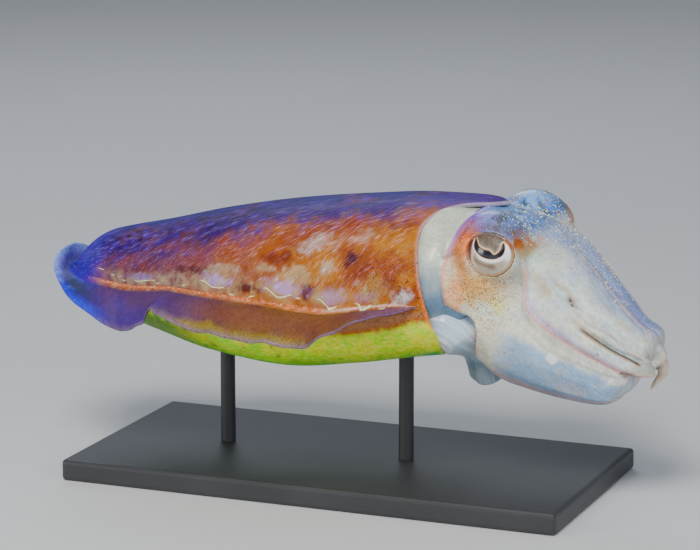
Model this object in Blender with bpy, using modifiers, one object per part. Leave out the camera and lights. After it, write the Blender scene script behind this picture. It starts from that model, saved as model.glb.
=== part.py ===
"""Common cuttlefish: a life-size museum model, swimming, held up by a plain display stand.

Metres, +Z up. The origin is the centre of the stand's underside. The animal looks along +X and
its right side faces -Y. Heights of the animal are measured from its body axis.
"""

import math
import random

import bmesh
import bpy
import numpy as np
from mathutils import Matrix, Vector

GAP = 0.0003  # clearance between neighbouring pieces
AXIS_HEIGHT = 0.095  # body axis above the surface that the stand rests on

# Mantle: the muscular sac, from the tail to the rim round the neck
TAIL_X = -0.140
TAIL_ROUNDING = 0.022
LIP_THICKNESS = 0.003
RECESS_X = 0.043  # floor of the opening that the neck comes out of
# angle from the top, x of the rim, which has a tongue over the neck and dips below each flank
RIM_LINE = (
    (0, 0.0775),
    (8, 0.0730),
    (17, 0.0600),
    (27, 0.0510),
    (42, 0.0465),
    (70, 0.0495),
    (100, 0.0550),
    (128, 0.0570),
    (150, 0.0545),
    (180, 0.0490),
)
MANTLE_ROUNDNESS = 2.1
MANTLE_RING = 44
MANTLE_STATIONS = 18
# x, half width, top, bottom
MANTLE_PROFILE = (
    (-0.142, 0.0140, 0.0040, -0.0160),
    (-0.128, 0.0200, 0.0105, -0.0210),
    (-0.112, 0.0265, 0.0150, -0.0265),
    (-0.092, 0.0340, 0.0195, -0.0320),
    (-0.062, 0.0430, 0.0270, -0.0395),
    (-0.025, 0.0480, 0.0340, -0.0430),
    (0.010, 0.0485, 0.0385, -0.0385),
    (0.040, 0.0460, 0.0412, -0.0330),
    (0.060, 0.0440, 0.0415, -0.0300),
    (0.082, 0.0400, 0.0395, -0.0280),
)
# x, height of the widest line, which carries the fins
FLANK_LINE = (
    (-0.142, -0.0075),
    (-0.100, -0.0085),
    (-0.070, -0.0055),
    (-0.030, -0.0060),
    (0.005, -0.0080),
    (0.030, -0.0045),
    (0.082, 0.0020),
)

# Fins: x of the root, width, droop on the right side, droop on the left side
FIN_PROFILE = (
    (0.047, 0.002, 10, 10),
    (0.040, 0.010, 4, 6),
    (0.026, 0.016, 6, 12),
    (0.015, 0.019, 22, 25),
    (0.004, 0.0205, 45, 40),
    (-0.022, 0.0215, 47, 48),
    (-0.050, 0.0205, 43, 38),
    (-0.068, 0.0180, 28, 18),
    (-0.078, 0.0165, 18, 20),
    (-0.087, 0.0185, 62, 38),
    (-0.100, 0.0195, 72, 46),
    (-0.120, 0.0150, 62, 22),
    (-0.134, 0.0100, 14, -26),
    (-0.140, 0.0115, -52, -55),
)
FIN_STATIONS = 40
FIN_ACROSS = 4
FIN_ROOT_DEPTH = 0.004
FIN_ROOT_THICKNESS = 0.0026
FIN_EDGE_THICKNESS = 0.0009
FIN_CURL_START = 0.008  # the fin leaves the body level and has its full droop from here outwards
FIN_TAIL_NOTCH = 0.0004  # half the gap between the two fins behind the tail

# Neck and head: centre x and z, tilt, half width, height above and below the centre, roundness
NECK_REAR = (RECESS_X + GAP, 0.004, 0, 0.0390, 0.0310, 0.0245, 2.1)
HEAD_REAR = (0.0595, 0.004, 7, 0.0380, 0.0315, 0.0270, 2.1)
CROWN = (0.0935, -0.0078, 26, 0.0350, 0.0372, 0.0372, 2.2)
HEAD_RING = 36
NECK_STATIONS = 3
HEAD_STATIONS = 7
ORBIT_CENTRE = Vector((0.0795, 0.0280, 0.0220))
ORBIT_RADII = Vector((0.0190, 0.0150, 0.0190))
EYE_CENTRE = Vector((0.0830, 0.0320, 0.0235))
EYE_RADIUS = 0.013
EYE_SEGMENTS = 20
LID_RADII = Vector((0.0112, 0.0092, 0.0017))  # half length, half height, thickness
LID_OFFSET = 0.0415
LID_FALL = 0.0012  # how much deeper the corners of the eye lie
LID_RING = 20
LID_SIDES = 6

# Funnel: centre x and z, tilt, half width, height above and below, roundness
FUNNEL_STATIONS = (
    (RECESS_X + GAP, -0.0100, 0, 0.0355, 0.0170, 0.0168, 2.0),
    (0.0590, -0.0130, 20, 0.0345, 0.0160, 0.0175, 2.0),
    (0.0675, -0.0230, 46, 0.0230, 0.0115, 0.0135, 2.0),
    (0.0702, -0.0335, 62, 0.0120, 0.0080, 0.0090, 2.0),
    (0.0718, -0.0425, 66, 0.0085, 0.0060, 0.0070, 2.0),
)
FUNNEL_RING = 20
FUNNEL_LOFT = 9
FUNNEL_BORE = Vector((0.0045, 0.0060, 0.0080))  # half height, half width, depth
FUNNEL_BORE_SEGMENTS = 16

# Arms: the closed bundle that starts at the crown: run, centre x and z, tilt, half width, half height
BUNDLE = (
    (0.00, 0.0935, -0.0078, 26, 0.0350, 0.0372),
    (0.25, 0.1078, -0.0163, 27, 0.0315, 0.0322),
    (0.50, 0.1208, -0.0236, 27, 0.0262, 0.0268),
    (0.75, 0.1325, -0.0290, 26, 0.0205, 0.0218),
    (1.00, 0.1436, -0.0317, 28, 0.0145, 0.0162),
    (1.20, 0.1495, -0.0344, 45, 0.0095, 0.0110),
    (1.36, 0.1482, -0.0396, 75, 0.0065, 0.0080),
)
BUNDLE_ROUNDNESS = 2.2
# first and last angle from the top, run at which the tip starts to close, run of the tip
ARM_SECTORS = (
    (0, 52, 0.70, 1.02),
    (52, 72, 0.82, 1.11),
    (72, 100, 0.85, 1.30),
    (100, 180, 0.62, 1.04),
)
KEEL_ANGLE = 140  # the lowest arms swell outwards here
KEEL_SPREAD = 20
KEEL_REACH = 0.08
ARM_RING = 12
ARM_STATIONS = 16
ARM_CORNER = 0.55
ARM_INNER_START = 0.36  # inner face at the crown, as a share of the bundle's radius
ARM_INNER_END = 0.22

# Suckers: two rows along the inner face of each arm, smaller towards the tip
SUCKERS_IN_ROW = 10
SUCKER_FIRST_RUN = 0.05
SUCKER_LAST_RUN = 0.93  # as a share of the arm's own length
SUCKER_ROW = 0.47  # how far each row lies from the arm's middle, as a share of its half width
SUCKER_RADIUS = 0.0017
SUCKER_TIP_SHARE = 0.45
SUCKER_SPREAD = 0.1  # largest change of one sucker's size, as a share of it
SUCKER_SIDES = 6

# Display stand
BASE_SIZE = Vector((0.240, 0.120, 0.010))
BASE_ROUNDING = 0.002
ROD_RADIUS = 0.0035
ROD_SIDES = 24
ROD_PLACES = {"stand_rod_front": 0.028, "stand_rod_rear": -0.062}

COLOURS = {
    "mantle": (0.42, 0.15, 0.07),
    "fin": (0.28, 0.15, 0.42),
    "neck": (0.62, 0.62, 0.64),
    "head": (0.60, 0.50, 0.42),
    "funnel": (0.66, 0.66, 0.76),
    "arm": (0.56, 0.56, 0.54),
    "eye": (0.03, 0.03, 0.03),
    "stand": (0.05, 0.05, 0.055),
}
ROUGHNESS = {"eye": 0.08, "stand": 0.55}
FLESH_ROUGHNESS = 0.4


def smooth_curve(rows):
    """Monotone cubic through rows whose first column rises or falls steadily."""
    table = np.array(sorted(rows), dtype=float)
    places, values = table[:, 0], table[:, 1:]
    steps = np.diff(places)[:, None]
    slopes = np.diff(values, axis=0) / steps
    tangents = np.vstack([slopes[:1], np.zeros_like(slopes[1:]), slopes[-1:]])
    for i in range(1, len(slopes)):
        before, after = slopes[i - 1], slopes[i]
        same = before * after > 0
        total = np.where(same, before + after, 1.0)
        tangents[i] = np.where(same, 2 * before * after / total, 0.0)

    def at(place):
        i = int(np.clip(np.searchsorted(places, place) - 1, 0, len(slopes) - 1))
        width = places[i + 1] - places[i]
        u = min(max((place - places[i]) / width, 0.0), 1.0)
        start, end = values[i], values[i + 1]
        pull = width * (u * (1 - u) ** 2 * tangents[i] - u * u * (1 - u) * tangents[i + 1])
        return start + (end - start) * (3 - 2 * u) * u * u + pull

    return at


def signed_power(value, power):
    return math.copysign(abs(value) ** power, value)


def oval(angle, half_width, above, below, roundness):
    """Sideways and upward offset on a superellipse, with the angle counted from the top."""
    sideways = half_width * signed_power(math.sin(angle), 2 / roundness)
    reach = above if math.cos(angle) > 0 else below
    return sideways, reach * signed_power(math.cos(angle), 2 / roundness)


def tilted_point(centre, tilt, sideways, upward):
    """Point of a section whose plane leans forward at the top by tilt degrees."""
    lean = math.radians(tilt)
    x = centre[0] + upward * math.sin(lean)
    return Vector((x, sideways, centre[1] + upward * math.cos(lean)))


def new_object(name, mesh_data, collection):
    mesh = bpy.data.meshes.new(name)
    bmesh.ops.recalc_face_normals(mesh_data, faces=mesh_data.faces)
    mesh_data.to_mesh(mesh)
    mesh_data.free()
    obj = bpy.data.objects.new(name, mesh)
    collection.objects.link(obj)
    return obj


def loft(name, rings, collection):
    """Closed solid through rings of as many points each; a ring of one point is a tip."""
    mesh_data = bmesh.new()
    loops = [[mesh_data.verts.new(point) for point in ring] for ring in rings]
    for first, second in zip(loops, loops[1:]):
        count = max(len(first), len(second))
        for i in range(count):
            j = (i + 1) % count
            corners = [first[i % len(first)], first[j % len(first)]]
            corners += [second[j % len(second)], second[i % len(second)]]
            mesh_data.faces.new(dict.fromkeys(corners))
    for end in (loops[0], loops[-1]):
        if len(end) > 2:
            mesh_data.faces.new(end)
    return new_object(name, mesh_data, collection)


def sheet(name, upper, lower, collection):
    """Closed sheet between two grids of points, whose faces are split along the same diagonals."""
    mesh_data = bmesh.new()
    grids = [[[mesh_data.verts.new(point) for point in row] for row in grid] for grid in (upper, lower)]
    last_row, last_column = len(upper) - 1, len(upper[0]) - 1
    for grid in grids:
        for row, following in zip(grid, grid[1:]):
            for k in range(last_column):
                mesh_data.faces.new((row[k], following[k], following[k + 1]))
                mesh_data.faces.new((row[k], following[k + 1], row[k + 1]))
    rim = [(i, 0) for i in range(last_row)]
    rim += [(last_row, k) for k in range(last_column)]
    rim += [(i, last_column) for i in range(last_row, 0, -1)]
    rim += [(0, k) for k in range(last_column, 0, -1)]
    for (i, k), (m, n) in zip(rim, rim[1:] + rim[:1]):
        mesh_data.faces.new((grids[0][i][k], grids[0][m][n], grids[1][m][n], grids[1][i][k]))
    return new_object(name, mesh_data, collection)


def section_loft(name, stations, steps, ring_size, grow, collection):
    """Loft through tilted ovals, as many steps as asked, each oval larger by grow."""
    curve = smooth_curve([(i / (len(stations) - 1), *row) for i, row in enumerate(stations)])
    rings = []
    for step in range(steps + 1):
        x, z, tilt, half_width, above, below, roundness = curve(step / steps)
        ring = []
        for i in range(ring_size):
            angle = 2 * math.pi * i / ring_size
            offset = oval(angle, half_width + grow, above + grow, below + grow, roundness)
            ring.append(tilted_point((x, z), tilt, *offset))
        rings.append(ring)
    return loft(name, rings, collection)


def ellipsoid(name, centre, radii, collection, segments=EYE_SEGMENTS):
    mesh_data = bmesh.new()
    bmesh.ops.create_uvsphere(mesh_data, u_segments=segments, v_segments=segments // 2, radius=1)
    bmesh.ops.rotate(mesh_data, verts=mesh_data.verts, matrix=Matrix.Rotation(math.pi / 2, 3, "X"))
    bmesh.ops.scale(mesh_data, verts=mesh_data.verts, vec=radii)
    bmesh.ops.translate(mesh_data, verts=mesh_data.verts, vec=centre)
    return new_object(name, mesh_data, collection)


def apply_boolean(obj, tools, operation):
    """Joins or cuts with every object of a collection at once, then drops those objects."""
    modifier = obj.modifiers.new(operation.lower(), "BOOLEAN")
    modifier.operation = operation
    modifier.operand_type = "COLLECTION"
    modifier.collection = tools
    bpy.context.view_layer.objects.active = obj
    bpy.ops.object.modifier_apply(modifier=modifier.name)
    for tool in list(tools.objects):
        bpy.data.objects.remove(tool)
    bpy.data.collections.remove(tools)
    keep_largest_surface(obj)


def keep_largest_surface(obj):
    mesh_data = bmesh.new()
    mesh_data.from_mesh(obj.data)
    unseen = set(mesh_data.faces)
    pieces = []
    while unseen:
        queue = [unseen.pop()]
        piece = []
        while queue:
            face = queue.pop()
            piece.append(face)
            for edge in face.edges:
                for other in edge.link_faces:
                    if other in unseen:
                        unseen.remove(other)
                        queue.append(other)
        pieces.append(piece)
    pieces.sort(key=lambda piece: sum(face.calc_area() for face in piece))
    loose = [face for piece in pieces[:-1] for face in piece]
    bmesh.ops.delete(mesh_data, geom=loose, context="FACES")
    mesh_data.to_mesh(obj.data)
    mesh_data.free()


def tool_collection(name):
    collection = bpy.data.collections.new(name)
    bpy.context.scene.collection.children.link(collection)
    collection.hide_render = True
    return collection


def finish_node(obj, colour, parent, smooth=True):
    material = bpy.data.materials.new(obj.name)
    material.use_nodes = True
    shader = material.node_tree.nodes["Principled BSDF"]
    shader.inputs["Base Color"].default_value = (*COLOURS[colour], 1)
    shader.inputs["Roughness"].default_value = ROUGHNESS.get(colour, FLESH_ROUGHNESS)
    shader.inputs["Metallic"].default_value = 0
    obj.data.materials.clear()
    obj.data.materials.append(material)
    if smooth:
        obj.data.shade_smooth()
        obj.data.set_sharp_from_angle(angle=math.radians(50))
    obj.parent = parent


mantle_size = smooth_curve(MANTLE_PROFILE)
flank_height = smooth_curve(FLANK_LINE)
rim_line = smooth_curve(RIM_LINE)
bundle_section = smooth_curve(BUNDLE)


def tail_closing(x, tail_x):
    """Share of the full section that is left as the tail rounds off, 0 at its tip."""
    into = min(max((x - tail_x) / TAIL_ROUNDING, 0.0), 1.0)
    return math.sqrt(1 - (1 - into) ** 2)


def mantle_outline(x, angle, inset, tail_x=TAIL_X):
    """Point of the mantle's surface, moved inwards by inset."""
    half_width, top, bottom = mantle_size(x)
    centre = flank_height(x)[0]
    share = tail_closing(x, tail_x)
    sizes = (half_width * share - inset, (top - centre) * share - inset, (centre - bottom) * share - inset)
    sideways, upward = oval(angle, *sizes, MANTLE_ROUNDNESS)
    return Vector((x, sideways, centre + upward))


def rim_position(angle):
    return rim_line(abs(math.degrees(math.remainder(angle, 2 * math.pi))))[0]


def make_mantle(name, grow, collection):
    """The sac with its rim turned inwards to a recess; grow gives the tool that clears it."""
    tail_x = TAIL_X - grow
    angles = [2 * math.pi * i / MANTLE_RING for i in range(MANTLE_RING)]
    rings = [[Vector((tail_x, 0, flank_height(tail_x)[0]))]]
    for step in range(1, MANTLE_STATIONS + 1):
        share = (step / MANTLE_STATIONS) ** 1.35
        ring = []
        for angle in angles:
            x = tail_x + (rim_position(angle) + grow - tail_x) * share
            ring.append(mantle_outline(x, angle, -grow, tail_x))
        rings.append(ring)
    inset = LIP_THICKNESS + grow
    for share in (0, 0.5, 1):
        ring = []
        for angle in angles:
            rim = rim_position(angle) + grow
            x = rim + (RECESS_X + grow - rim) * share
            ring.append(mantle_outline(x, angle, inset, tail_x))
        rings.append(ring)
    return loft(name, rings, collection)


def fin_root_path():
    """Points of the flank line in plan, from the front of the fin round to the tail, left side."""
    count = 200
    path = []
    for i in range(count + 1):
        bend = math.pi / 2 * i / count
        x = TAIL_X + (FIN_PROFILE[0][0] - TAIL_X) * (1 - math.sin(bend))
        y = mantle_size(x)[0] * tail_closing(x, TAIL_X)
        path.append(Vector((x, y, flank_height(x)[0])))
    return path


def make_fin(name, side, collection):
    """Undulating sheet along the flank. side is 1 on the left and -1 on the right."""
    profile = smooth_curve(FIN_PROFILE)
    path = fin_root_path()
    runs = np.concatenate([[0], np.cumsum([(b - a).length for a, b in zip(path, path[1:])])])
    upper, lower = [], []
    for station in range(FIN_STATIONS + 1):
        run = runs[-1] * station / FIN_STATIONS
        i = min(int(np.searchsorted(runs, run, side="right")) - 1, len(path) - 2)
        root = path[i].lerp(path[i + 1], (run - runs[i]) / (runs[i + 1] - runs[i]))
        along = path[i + 1] - path[i]
        outward = Vector((along.y, -along.x, 0)).normalized()
        width, droop_right, droop_left = profile(root.x)
        droop = math.radians(droop_left if side > 0 else droop_right)
        spread = []
        for k in range(FIN_ACROSS + 1):
            share = k / FIN_ACROSS
            reach = -FIN_ROOT_DEPTH + (width + FIN_ROOT_DEPTH) * share
            curl = droop * min(max(reach / FIN_CURL_START, 0.0), 1.0)
            thick = FIN_ROOT_THICKNESS + (FIN_EDGE_THICKNESS - FIN_ROOT_THICKNESS) * share
            spread.append((reach, curl, thick / 2))
        point = root - outward * FIN_ROOT_DEPTH
        rows = [], []
        for k, (reach, curl, half) in enumerate(spread):
            if k:
                step = reach - spread[k - 1][0]
                point = point + outward * (step * math.cos(curl)) - Vector((0, 0, step * math.sin(curl)))
            normal = outward * math.sin(curl) + Vector((0, 0, math.cos(curl)))
            for row, offset in zip(rows, (normal * half, -normal * half)):
                corner = point + offset
                corner.y = side * max(corner.y, FIN_TAIL_NOTCH)
                row.append(corner)
        upper.append(rows[0])
        lower.append(rows[1])
    return sheet(name, upper, lower, collection)


def bundle_point(run, angle, share, clearance=0.0):
    """Point of the arm bundle; clearance turns it away from a neighbour by that distance."""
    x, z, tilt, half_width, half_height = bundle_section(run)
    turn = angle + clearance / (max(share, 0.05) * half_height)
    sideways, upward = oval(turn, half_width, half_height, half_height, BUNDLE_ROUNDNESS)
    off_keel = (math.degrees(turn) - KEEL_ANGLE) / KEEL_SPREAD
    share *= 1 + KEEL_REACH * math.exp(-off_keel * off_keel) * min(run / 0.8, 1)
    return tilted_point((x, z), tilt, share * sideways, share * upward)


def arm_inner_share(run):
    return ARM_INNER_START + (ARM_INNER_END - ARM_INNER_START) * min(run, 1.0)


def arm_closing(sector, run):
    """Share of the full section that is left as the arm closes to its tip."""
    closing, tip = sector[2:]
    beyond = min(max(run - closing, 0) / (tip - closing), 1.0)
    return (1 - beyond**2) ** 0.6


def arm_point(sector, run, across, outwards):
    """Point in one arm's section; across and outwards run from -1 to 1 about its middle."""
    first, last = (math.radians(value) for value in sector[:2])
    inner = arm_inner_share(run)
    shrink = arm_closing(sector, run)
    share = (1 + inner) / 2 + (1 - inner) / 2 * outwards * shrink
    angle = (first + last) / 2 + (last - first) / 2 * across * shrink
    return bundle_point(run, angle, share, -across * GAP)


def arm_ring(sector, run):
    ring = []
    for i in range(ARM_RING):
        corner = 2 * math.pi * i / ARM_RING
        across = signed_power(math.cos(corner), ARM_CORNER)
        ring.append(arm_point(sector, run, across, signed_power(math.sin(corner), ARM_CORNER)))
    return ring


def add_sucker(place, inward, radius, collection):
    """Flared cup whose narrow foot is sunk in the arm."""
    mesh_data = bmesh.new()
    sizes = {"radius1": 0.65 * radius, "radius2": radius, "depth": 1.6 * radius}
    bmesh.ops.create_cone(mesh_data, cap_ends=True, segments=SUCKER_SIDES, **sizes)
    mouth = max(mesh_data.faces, key=lambda face: face.calc_center_median().z)
    middle = bmesh.ops.poke(mesh_data, faces=[mouth])["verts"][0]
    middle.co.z -= 0.4 * radius
    turn = inward.to_track_quat("Z", "Y").to_matrix().to_4x4()
    bmesh.ops.transform(mesh_data, matrix=Matrix.Translation(place) @ turn, verts=mesh_data.verts)
    new_object("sucker", mesh_data, collection)


def add_suckers(arm, sector, side):
    added = tool_collection("suckers")
    draw = random.Random(arm.name)
    last_run = SUCKER_LAST_RUN * sector[3]
    for i in range(SUCKERS_IN_ROW):
        along = i / (SUCKERS_IN_ROW - 1)
        run = SUCKER_FIRST_RUN + (last_run - SUCKER_FIRST_RUN) * along
        for row in (-1, 1):
            place = arm_point(sector, run, row * SUCKER_ROW, -1)
            edge = arm_point(sector, run, row, -1)
            outer = arm_point(sector, run, row * SUCKER_ROW, 0)
            radius = SUCKER_RADIUS * (1 - (1 - SUCKER_TIP_SHARE) * along)
            radius *= draw.uniform(1 - SUCKER_SPREAD, 1 + SUCKER_SPREAD)
            radius = min(radius, 0.85 * (edge - place).length)
            inward = (place - outer).normalized()
            mirror = Vector((1, side, 1))
            add_sucker(place * mirror, inward * mirror, radius, added)
    apply_boolean(arm, added, "UNION")


def make_arm(name, sector, side, collection):
    rings = []
    for step in range(ARM_STATIONS):
        run = sector[3] * (1 - (1 - step / ARM_STATIONS) ** 1.3)
        rings.append([Vector((p.x, side * p.y, p.z)) for p in arm_ring(sector, run)])
    last = arm_point(sector, sector[3], 0, 0)
    rings.append([Vector((last.x, side * last.y, last.z))])
    slide = Matrix.Rotation(math.radians(CROWN[2]), 3, "Y") @ Vector((GAP, 0, 0))
    rings[0] = [point + slide for point in rings[0]]
    arm = loft(name, rings, collection)
    add_suckers(arm, sector, side)
    return arm


def make_eye(name, side, grow, collection):
    centre = Vector((EYE_CENTRE.x, side * EYE_CENTRE.y, EYE_CENTRE.z))
    radius = EYE_RADIUS + grow
    return ellipsoid(name, centre, Vector((radius,) * 3), collection)


def make_lid(side, collection):
    """Fold of skin round the eye opening."""
    long_radius, high_radius, thickness = LID_RADII
    rings = []
    for i in range(LID_RING):
        turn = 2 * math.pi * i / LID_RING
        ring = []
        for k in range(LID_SIDES):
            roll = 2 * math.pi * k / LID_SIDES
            reach = thickness * math.cos(roll)
            x = EYE_CENTRE.x + (long_radius + reach) * math.cos(turn)
            z = EYE_CENTRE.z + (high_radius + reach) * math.sin(turn)
            fall = LID_FALL * math.cos(turn) ** 2
            ring.append(Vector((x, side * (LID_OFFSET - fall + thickness * math.sin(roll)), z)))
        rings.append(ring)
    mesh_data = bmesh.new()
    loops = [[mesh_data.verts.new(point) for point in ring] for ring in rings]
    for first, second in zip(loops, loops[1:] + loops[:1]):
        for i in range(LID_SIDES):
            j = (i + 1) % LID_SIDES
            mesh_data.faces.new((first[i], first[j], second[j], second[i]))
    return new_object("lid", mesh_data, collection)


def make_orbit(side, grow, collection):
    """Bulge of the head that holds an eye; it reaches back over the neck."""
    centre = Vector((ORBIT_CENTRE.x, side * ORBIT_CENTRE.y, ORBIT_CENTRE.z))
    return ellipsoid("orbit", centre, ORBIT_RADII + Vector((grow,) * 3), collection)


def make_head(collection):
    head = section_loft("head", (HEAD_REAR, CROWN), HEAD_STATIONS, HEAD_RING, 0, collection)
    added = tool_collection("head_additions")
    for side in (1, -1):
        make_orbit(side, 0, added)
        make_lid(side, added)
    apply_boolean(head, added, "UNION")
    cuts = tool_collection("head_cuts")
    for side in (1, -1):
        make_eye("eye_socket", side, GAP, cuts)
    section_loft("funnel_groove", FUNNEL_STATIONS, FUNNEL_LOFT, FUNNEL_RING, 2 * GAP, cuts)
    apply_boolean(head, cuts, "DIFFERENCE")
    return head


def neck_stations():
    lean = math.radians(HEAD_REAR[2])
    front = (HEAD_REAR[0] - GAP * math.cos(lean), HEAD_REAR[1] + GAP * math.sin(lean), *HEAD_REAR[2:])
    return NECK_REAR, front


def make_neck(collection):
    neck = section_loft("neck", neck_stations(), NECK_STATIONS, HEAD_RING, 0, collection)
    cuts = tool_collection("neck_cuts")
    for side in (1, -1):
        make_orbit(side, GAP, cuts)
    apply_boolean(neck, cuts, "DIFFERENCE")
    return neck


def make_funnel(collection):
    funnel = section_loft("funnel", FUNNEL_STATIONS, FUNNEL_LOFT, FUNNEL_RING, 0, collection)
    cuts = tool_collection("funnel_cuts")
    rear, front = neck_stations()
    longer = (rear[0] - 0.01, *rear[1:])
    section_loft("neck_clearance", (longer, front), NECK_STATIONS, HEAD_RING, GAP, cuts)
    make_mantle("mantle_clearance", GAP, cuts)
    x, z, tilt = FUNNEL_STATIONS[-1][:3]
    lean = math.radians(tilt)
    mouth = Vector((x, 0, z))
    bore = ellipsoid("bore", Vector(), FUNNEL_BORE.zxy, cuts, FUNNEL_BORE_SEGMENTS)
    bore.data.transform(Matrix.Rotation(lean, 4, "Y"))
    bore.data.transform(Matrix.Translation(mouth))
    apply_boolean(funnel, cuts, "DIFFERENCE")
    return funnel


def make_base(collection):
    bpy.ops.mesh.primitive_cube_add(size=1, location=(0, 0, BASE_SIZE.z / 2))
    base = bpy.context.active_object
    base.name = "stand_base"
    base.data.transform(Matrix.Diagonal((*BASE_SIZE, 1)))
    bevel = base.modifiers.new("rounding", "BEVEL")
    bevel.width = BASE_ROUNDING
    bevel.segments = 3
    for holder in base.users_collection:
        holder.objects.unlink(base)
    collection.objects.link(base)
    return base


def make_rod(name, x, body, collection):
    """Rod from the base up to the belly, its top shaped to the belly."""
    height = AXIS_HEIGHT - BASE_SIZE.z
    mesh_data = bmesh.new()
    sizes = {"radius1": ROD_RADIUS, "radius2": ROD_RADIUS, "depth": height}
    bmesh.ops.create_cone(mesh_data, cap_ends=True, segments=ROD_SIDES, **sizes)
    rod = new_object(name, mesh_data, collection)
    rod.location = (x, 0, BASE_SIZE.z + GAP + height / 2)
    cuts = tool_collection("rod_cuts")
    clearance = make_mantle("mantle_clearance", GAP, cuts)
    clearance.parent = body
    bpy.context.view_layer.update()
    apply_boolean(rod, cuts, "DIFFERENCE")
    return rod


def main():
    for obj in list(bpy.data.objects):
        bpy.data.objects.remove(obj)
    collection = bpy.data.collections.new("cuttlefish")
    bpy.context.scene.collection.children.link(collection)
    body = bpy.data.objects.new("body_axis", None)
    body.location = (0, 0, AXIS_HEIGHT)
    collection.objects.link(body)

    finish_node(make_mantle("mantle", 0, collection), "mantle", body)
    finish_node(make_neck(collection), "neck", body)
    finish_node(make_head(collection), "head", body)
    finish_node(make_funnel(collection), "funnel", body)
    for side, word in ((1, "left"), (-1, "right")):
        finish_node(make_eye(f"eye_{word}", side, 0, collection), "eye", body)
        fin = make_fin(f"fin_{word}", side, collection)
        cuts = tool_collection("fin_cuts")
        make_mantle("mantle_clearance", GAP, cuts)
        apply_boolean(fin, cuts, "DIFFERENCE")
        finish_node(fin, "fin", body)
        for number, sector in enumerate(ARM_SECTORS, 1):
            finish_node(make_arm(f"arm_{number}_{word}", sector, side, collection), "arm", body)
    finish_node(make_base(collection), "stand", None, smooth=False)
    for name, x in ROD_PLACES.items():
        finish_node(make_rod(name, x, body, collection), "stand", None)


main()
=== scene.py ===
"""Cuttlefish museum model: wet skin, eyes, suckers and a plain stand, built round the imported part.

Metres, +Z up. The animal looks along +X and its right side, which the camera sees, faces -Y.
Profiles are measured from the body axis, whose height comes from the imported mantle.
"""

from __future__ import annotations

import logging
import math
from dataclasses import dataclass, field
from enum import Enum
from typing import Callable, Sequence

import bpy
import numpy as np
from mathutils import Matrix, Vector, noise

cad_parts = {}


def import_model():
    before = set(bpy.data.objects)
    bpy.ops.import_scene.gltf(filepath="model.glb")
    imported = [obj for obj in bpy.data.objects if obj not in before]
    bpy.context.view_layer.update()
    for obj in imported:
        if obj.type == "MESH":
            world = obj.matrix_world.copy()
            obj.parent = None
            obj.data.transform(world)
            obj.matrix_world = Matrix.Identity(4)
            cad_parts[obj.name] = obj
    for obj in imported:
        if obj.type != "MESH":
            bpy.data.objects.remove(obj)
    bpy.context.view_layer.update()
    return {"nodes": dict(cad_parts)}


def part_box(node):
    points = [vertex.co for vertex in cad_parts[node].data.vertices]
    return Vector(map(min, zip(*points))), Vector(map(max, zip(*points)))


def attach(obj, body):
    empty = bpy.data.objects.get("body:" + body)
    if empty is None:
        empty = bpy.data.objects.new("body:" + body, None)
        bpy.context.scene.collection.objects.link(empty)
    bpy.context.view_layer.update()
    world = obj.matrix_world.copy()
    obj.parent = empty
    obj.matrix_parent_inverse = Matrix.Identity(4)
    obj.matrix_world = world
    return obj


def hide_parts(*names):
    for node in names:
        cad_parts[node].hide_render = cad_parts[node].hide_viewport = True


Array = np.ndarray
Row = Sequence[float]
Colour = tuple[float, float, float]
Curve = Callable[[Array], Array]
Piece = bpy.types.Object
Material = bpy.types.Material
Socket = bpy.types.NodeSocket

log = logging.getLogger("cuttlefish")

MANTLE_TOP = 0.0415  # highest point of the mantle over the body axis
TINT_LIMITS = (0.004, 0.95)  # lowest and highest value of a colour


class Side(Enum):
    """Side of the animal, as the sign of y."""

    LEFT = 1
    RIGHT = -1

    @property
    def word(self) -> str:
        """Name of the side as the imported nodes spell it."""
        return self.name.lower()


def monotone_curve(rows: Sequence[Row]) -> Curve:
    """Smooth curve through rows without overshoot.

    Args:
        rows: Numbers whose first column rises or falls steadily.

    Returns:
        Function of the first column that gives the other columns as the last axis.
    """
    table = np.array(sorted(rows), dtype=float)
    places, values = table[:, 0], table[:, 1:]
    slopes = np.diff(values, axis=0) / np.diff(places)[:, None]
    before, after = slopes[:-1], slopes[1:]
    same = before * after > 0
    middle = np.where(same, 2 * before * after / np.where(same, before + after, 1), 0)
    tangents = np.vstack([slopes[:1], middle, slopes[-1:]])

    def at(place: Array) -> Array:
        """Values at one place or an array of places.

        Args:
            place: Values of the first column.

        Returns:
            The other columns, as the last axis.
        """
        place = np.asarray(place, dtype=float)
        i = np.clip(np.searchsorted(places, place) - 1, 0, len(slopes) - 1)
        width = places[i + 1] - places[i]
        u = np.clip((place - places[i]) / width, 0, 1)[..., None]
        pull = width[..., None] * (u * (1 - u) ** 2 * tangents[i] - u * u * (1 - u) * tangents[i + 1])
        return values[i] + (values[i + 1] - values[i]) * (3 - 2 * u) * u * u + pull

    return at


def ease(low: float, high: float, value: Array) -> Array:
    """Smooth step from 0 at low to 1 at high."""
    share = np.clip((np.asarray(value) - low) / (high - low), 0, 1)
    return share * share * (3 - 2 * share)


def bump(value: Array, centre: float, width: float) -> Array:
    """Bell of height 1 at centre that has fallen to about a third at width."""
    return np.exp(-(((np.asarray(value) - centre) / width) ** 2))


def signed_power(value: Array, power: float) -> Array:
    """Power of the size of value, with its sign kept."""
    return np.sign(value) * np.abs(value) ** power


def oval(
    angle: Array, half_width: Array, above: Array, below: Array, roundness: Array
) -> tuple[Array, Array]:
    """Superellipse with its own height above and below the middle.

    Args:
        angle: Radians from the top, positive to the left.
        half_width: Reach sideways.
        above: Reach upwards.
        below: Reach downwards.
        roundness: 2 for an ellipse, more for fuller corners.

    Returns:
        Sideways and upward offsets from the middle.
    """
    power = 2 / roundness
    rise = signed_power(np.cos(angle), power)
    return half_width * signed_power(np.sin(angle), power), np.where(rise > 0, above, below) * rise


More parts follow.
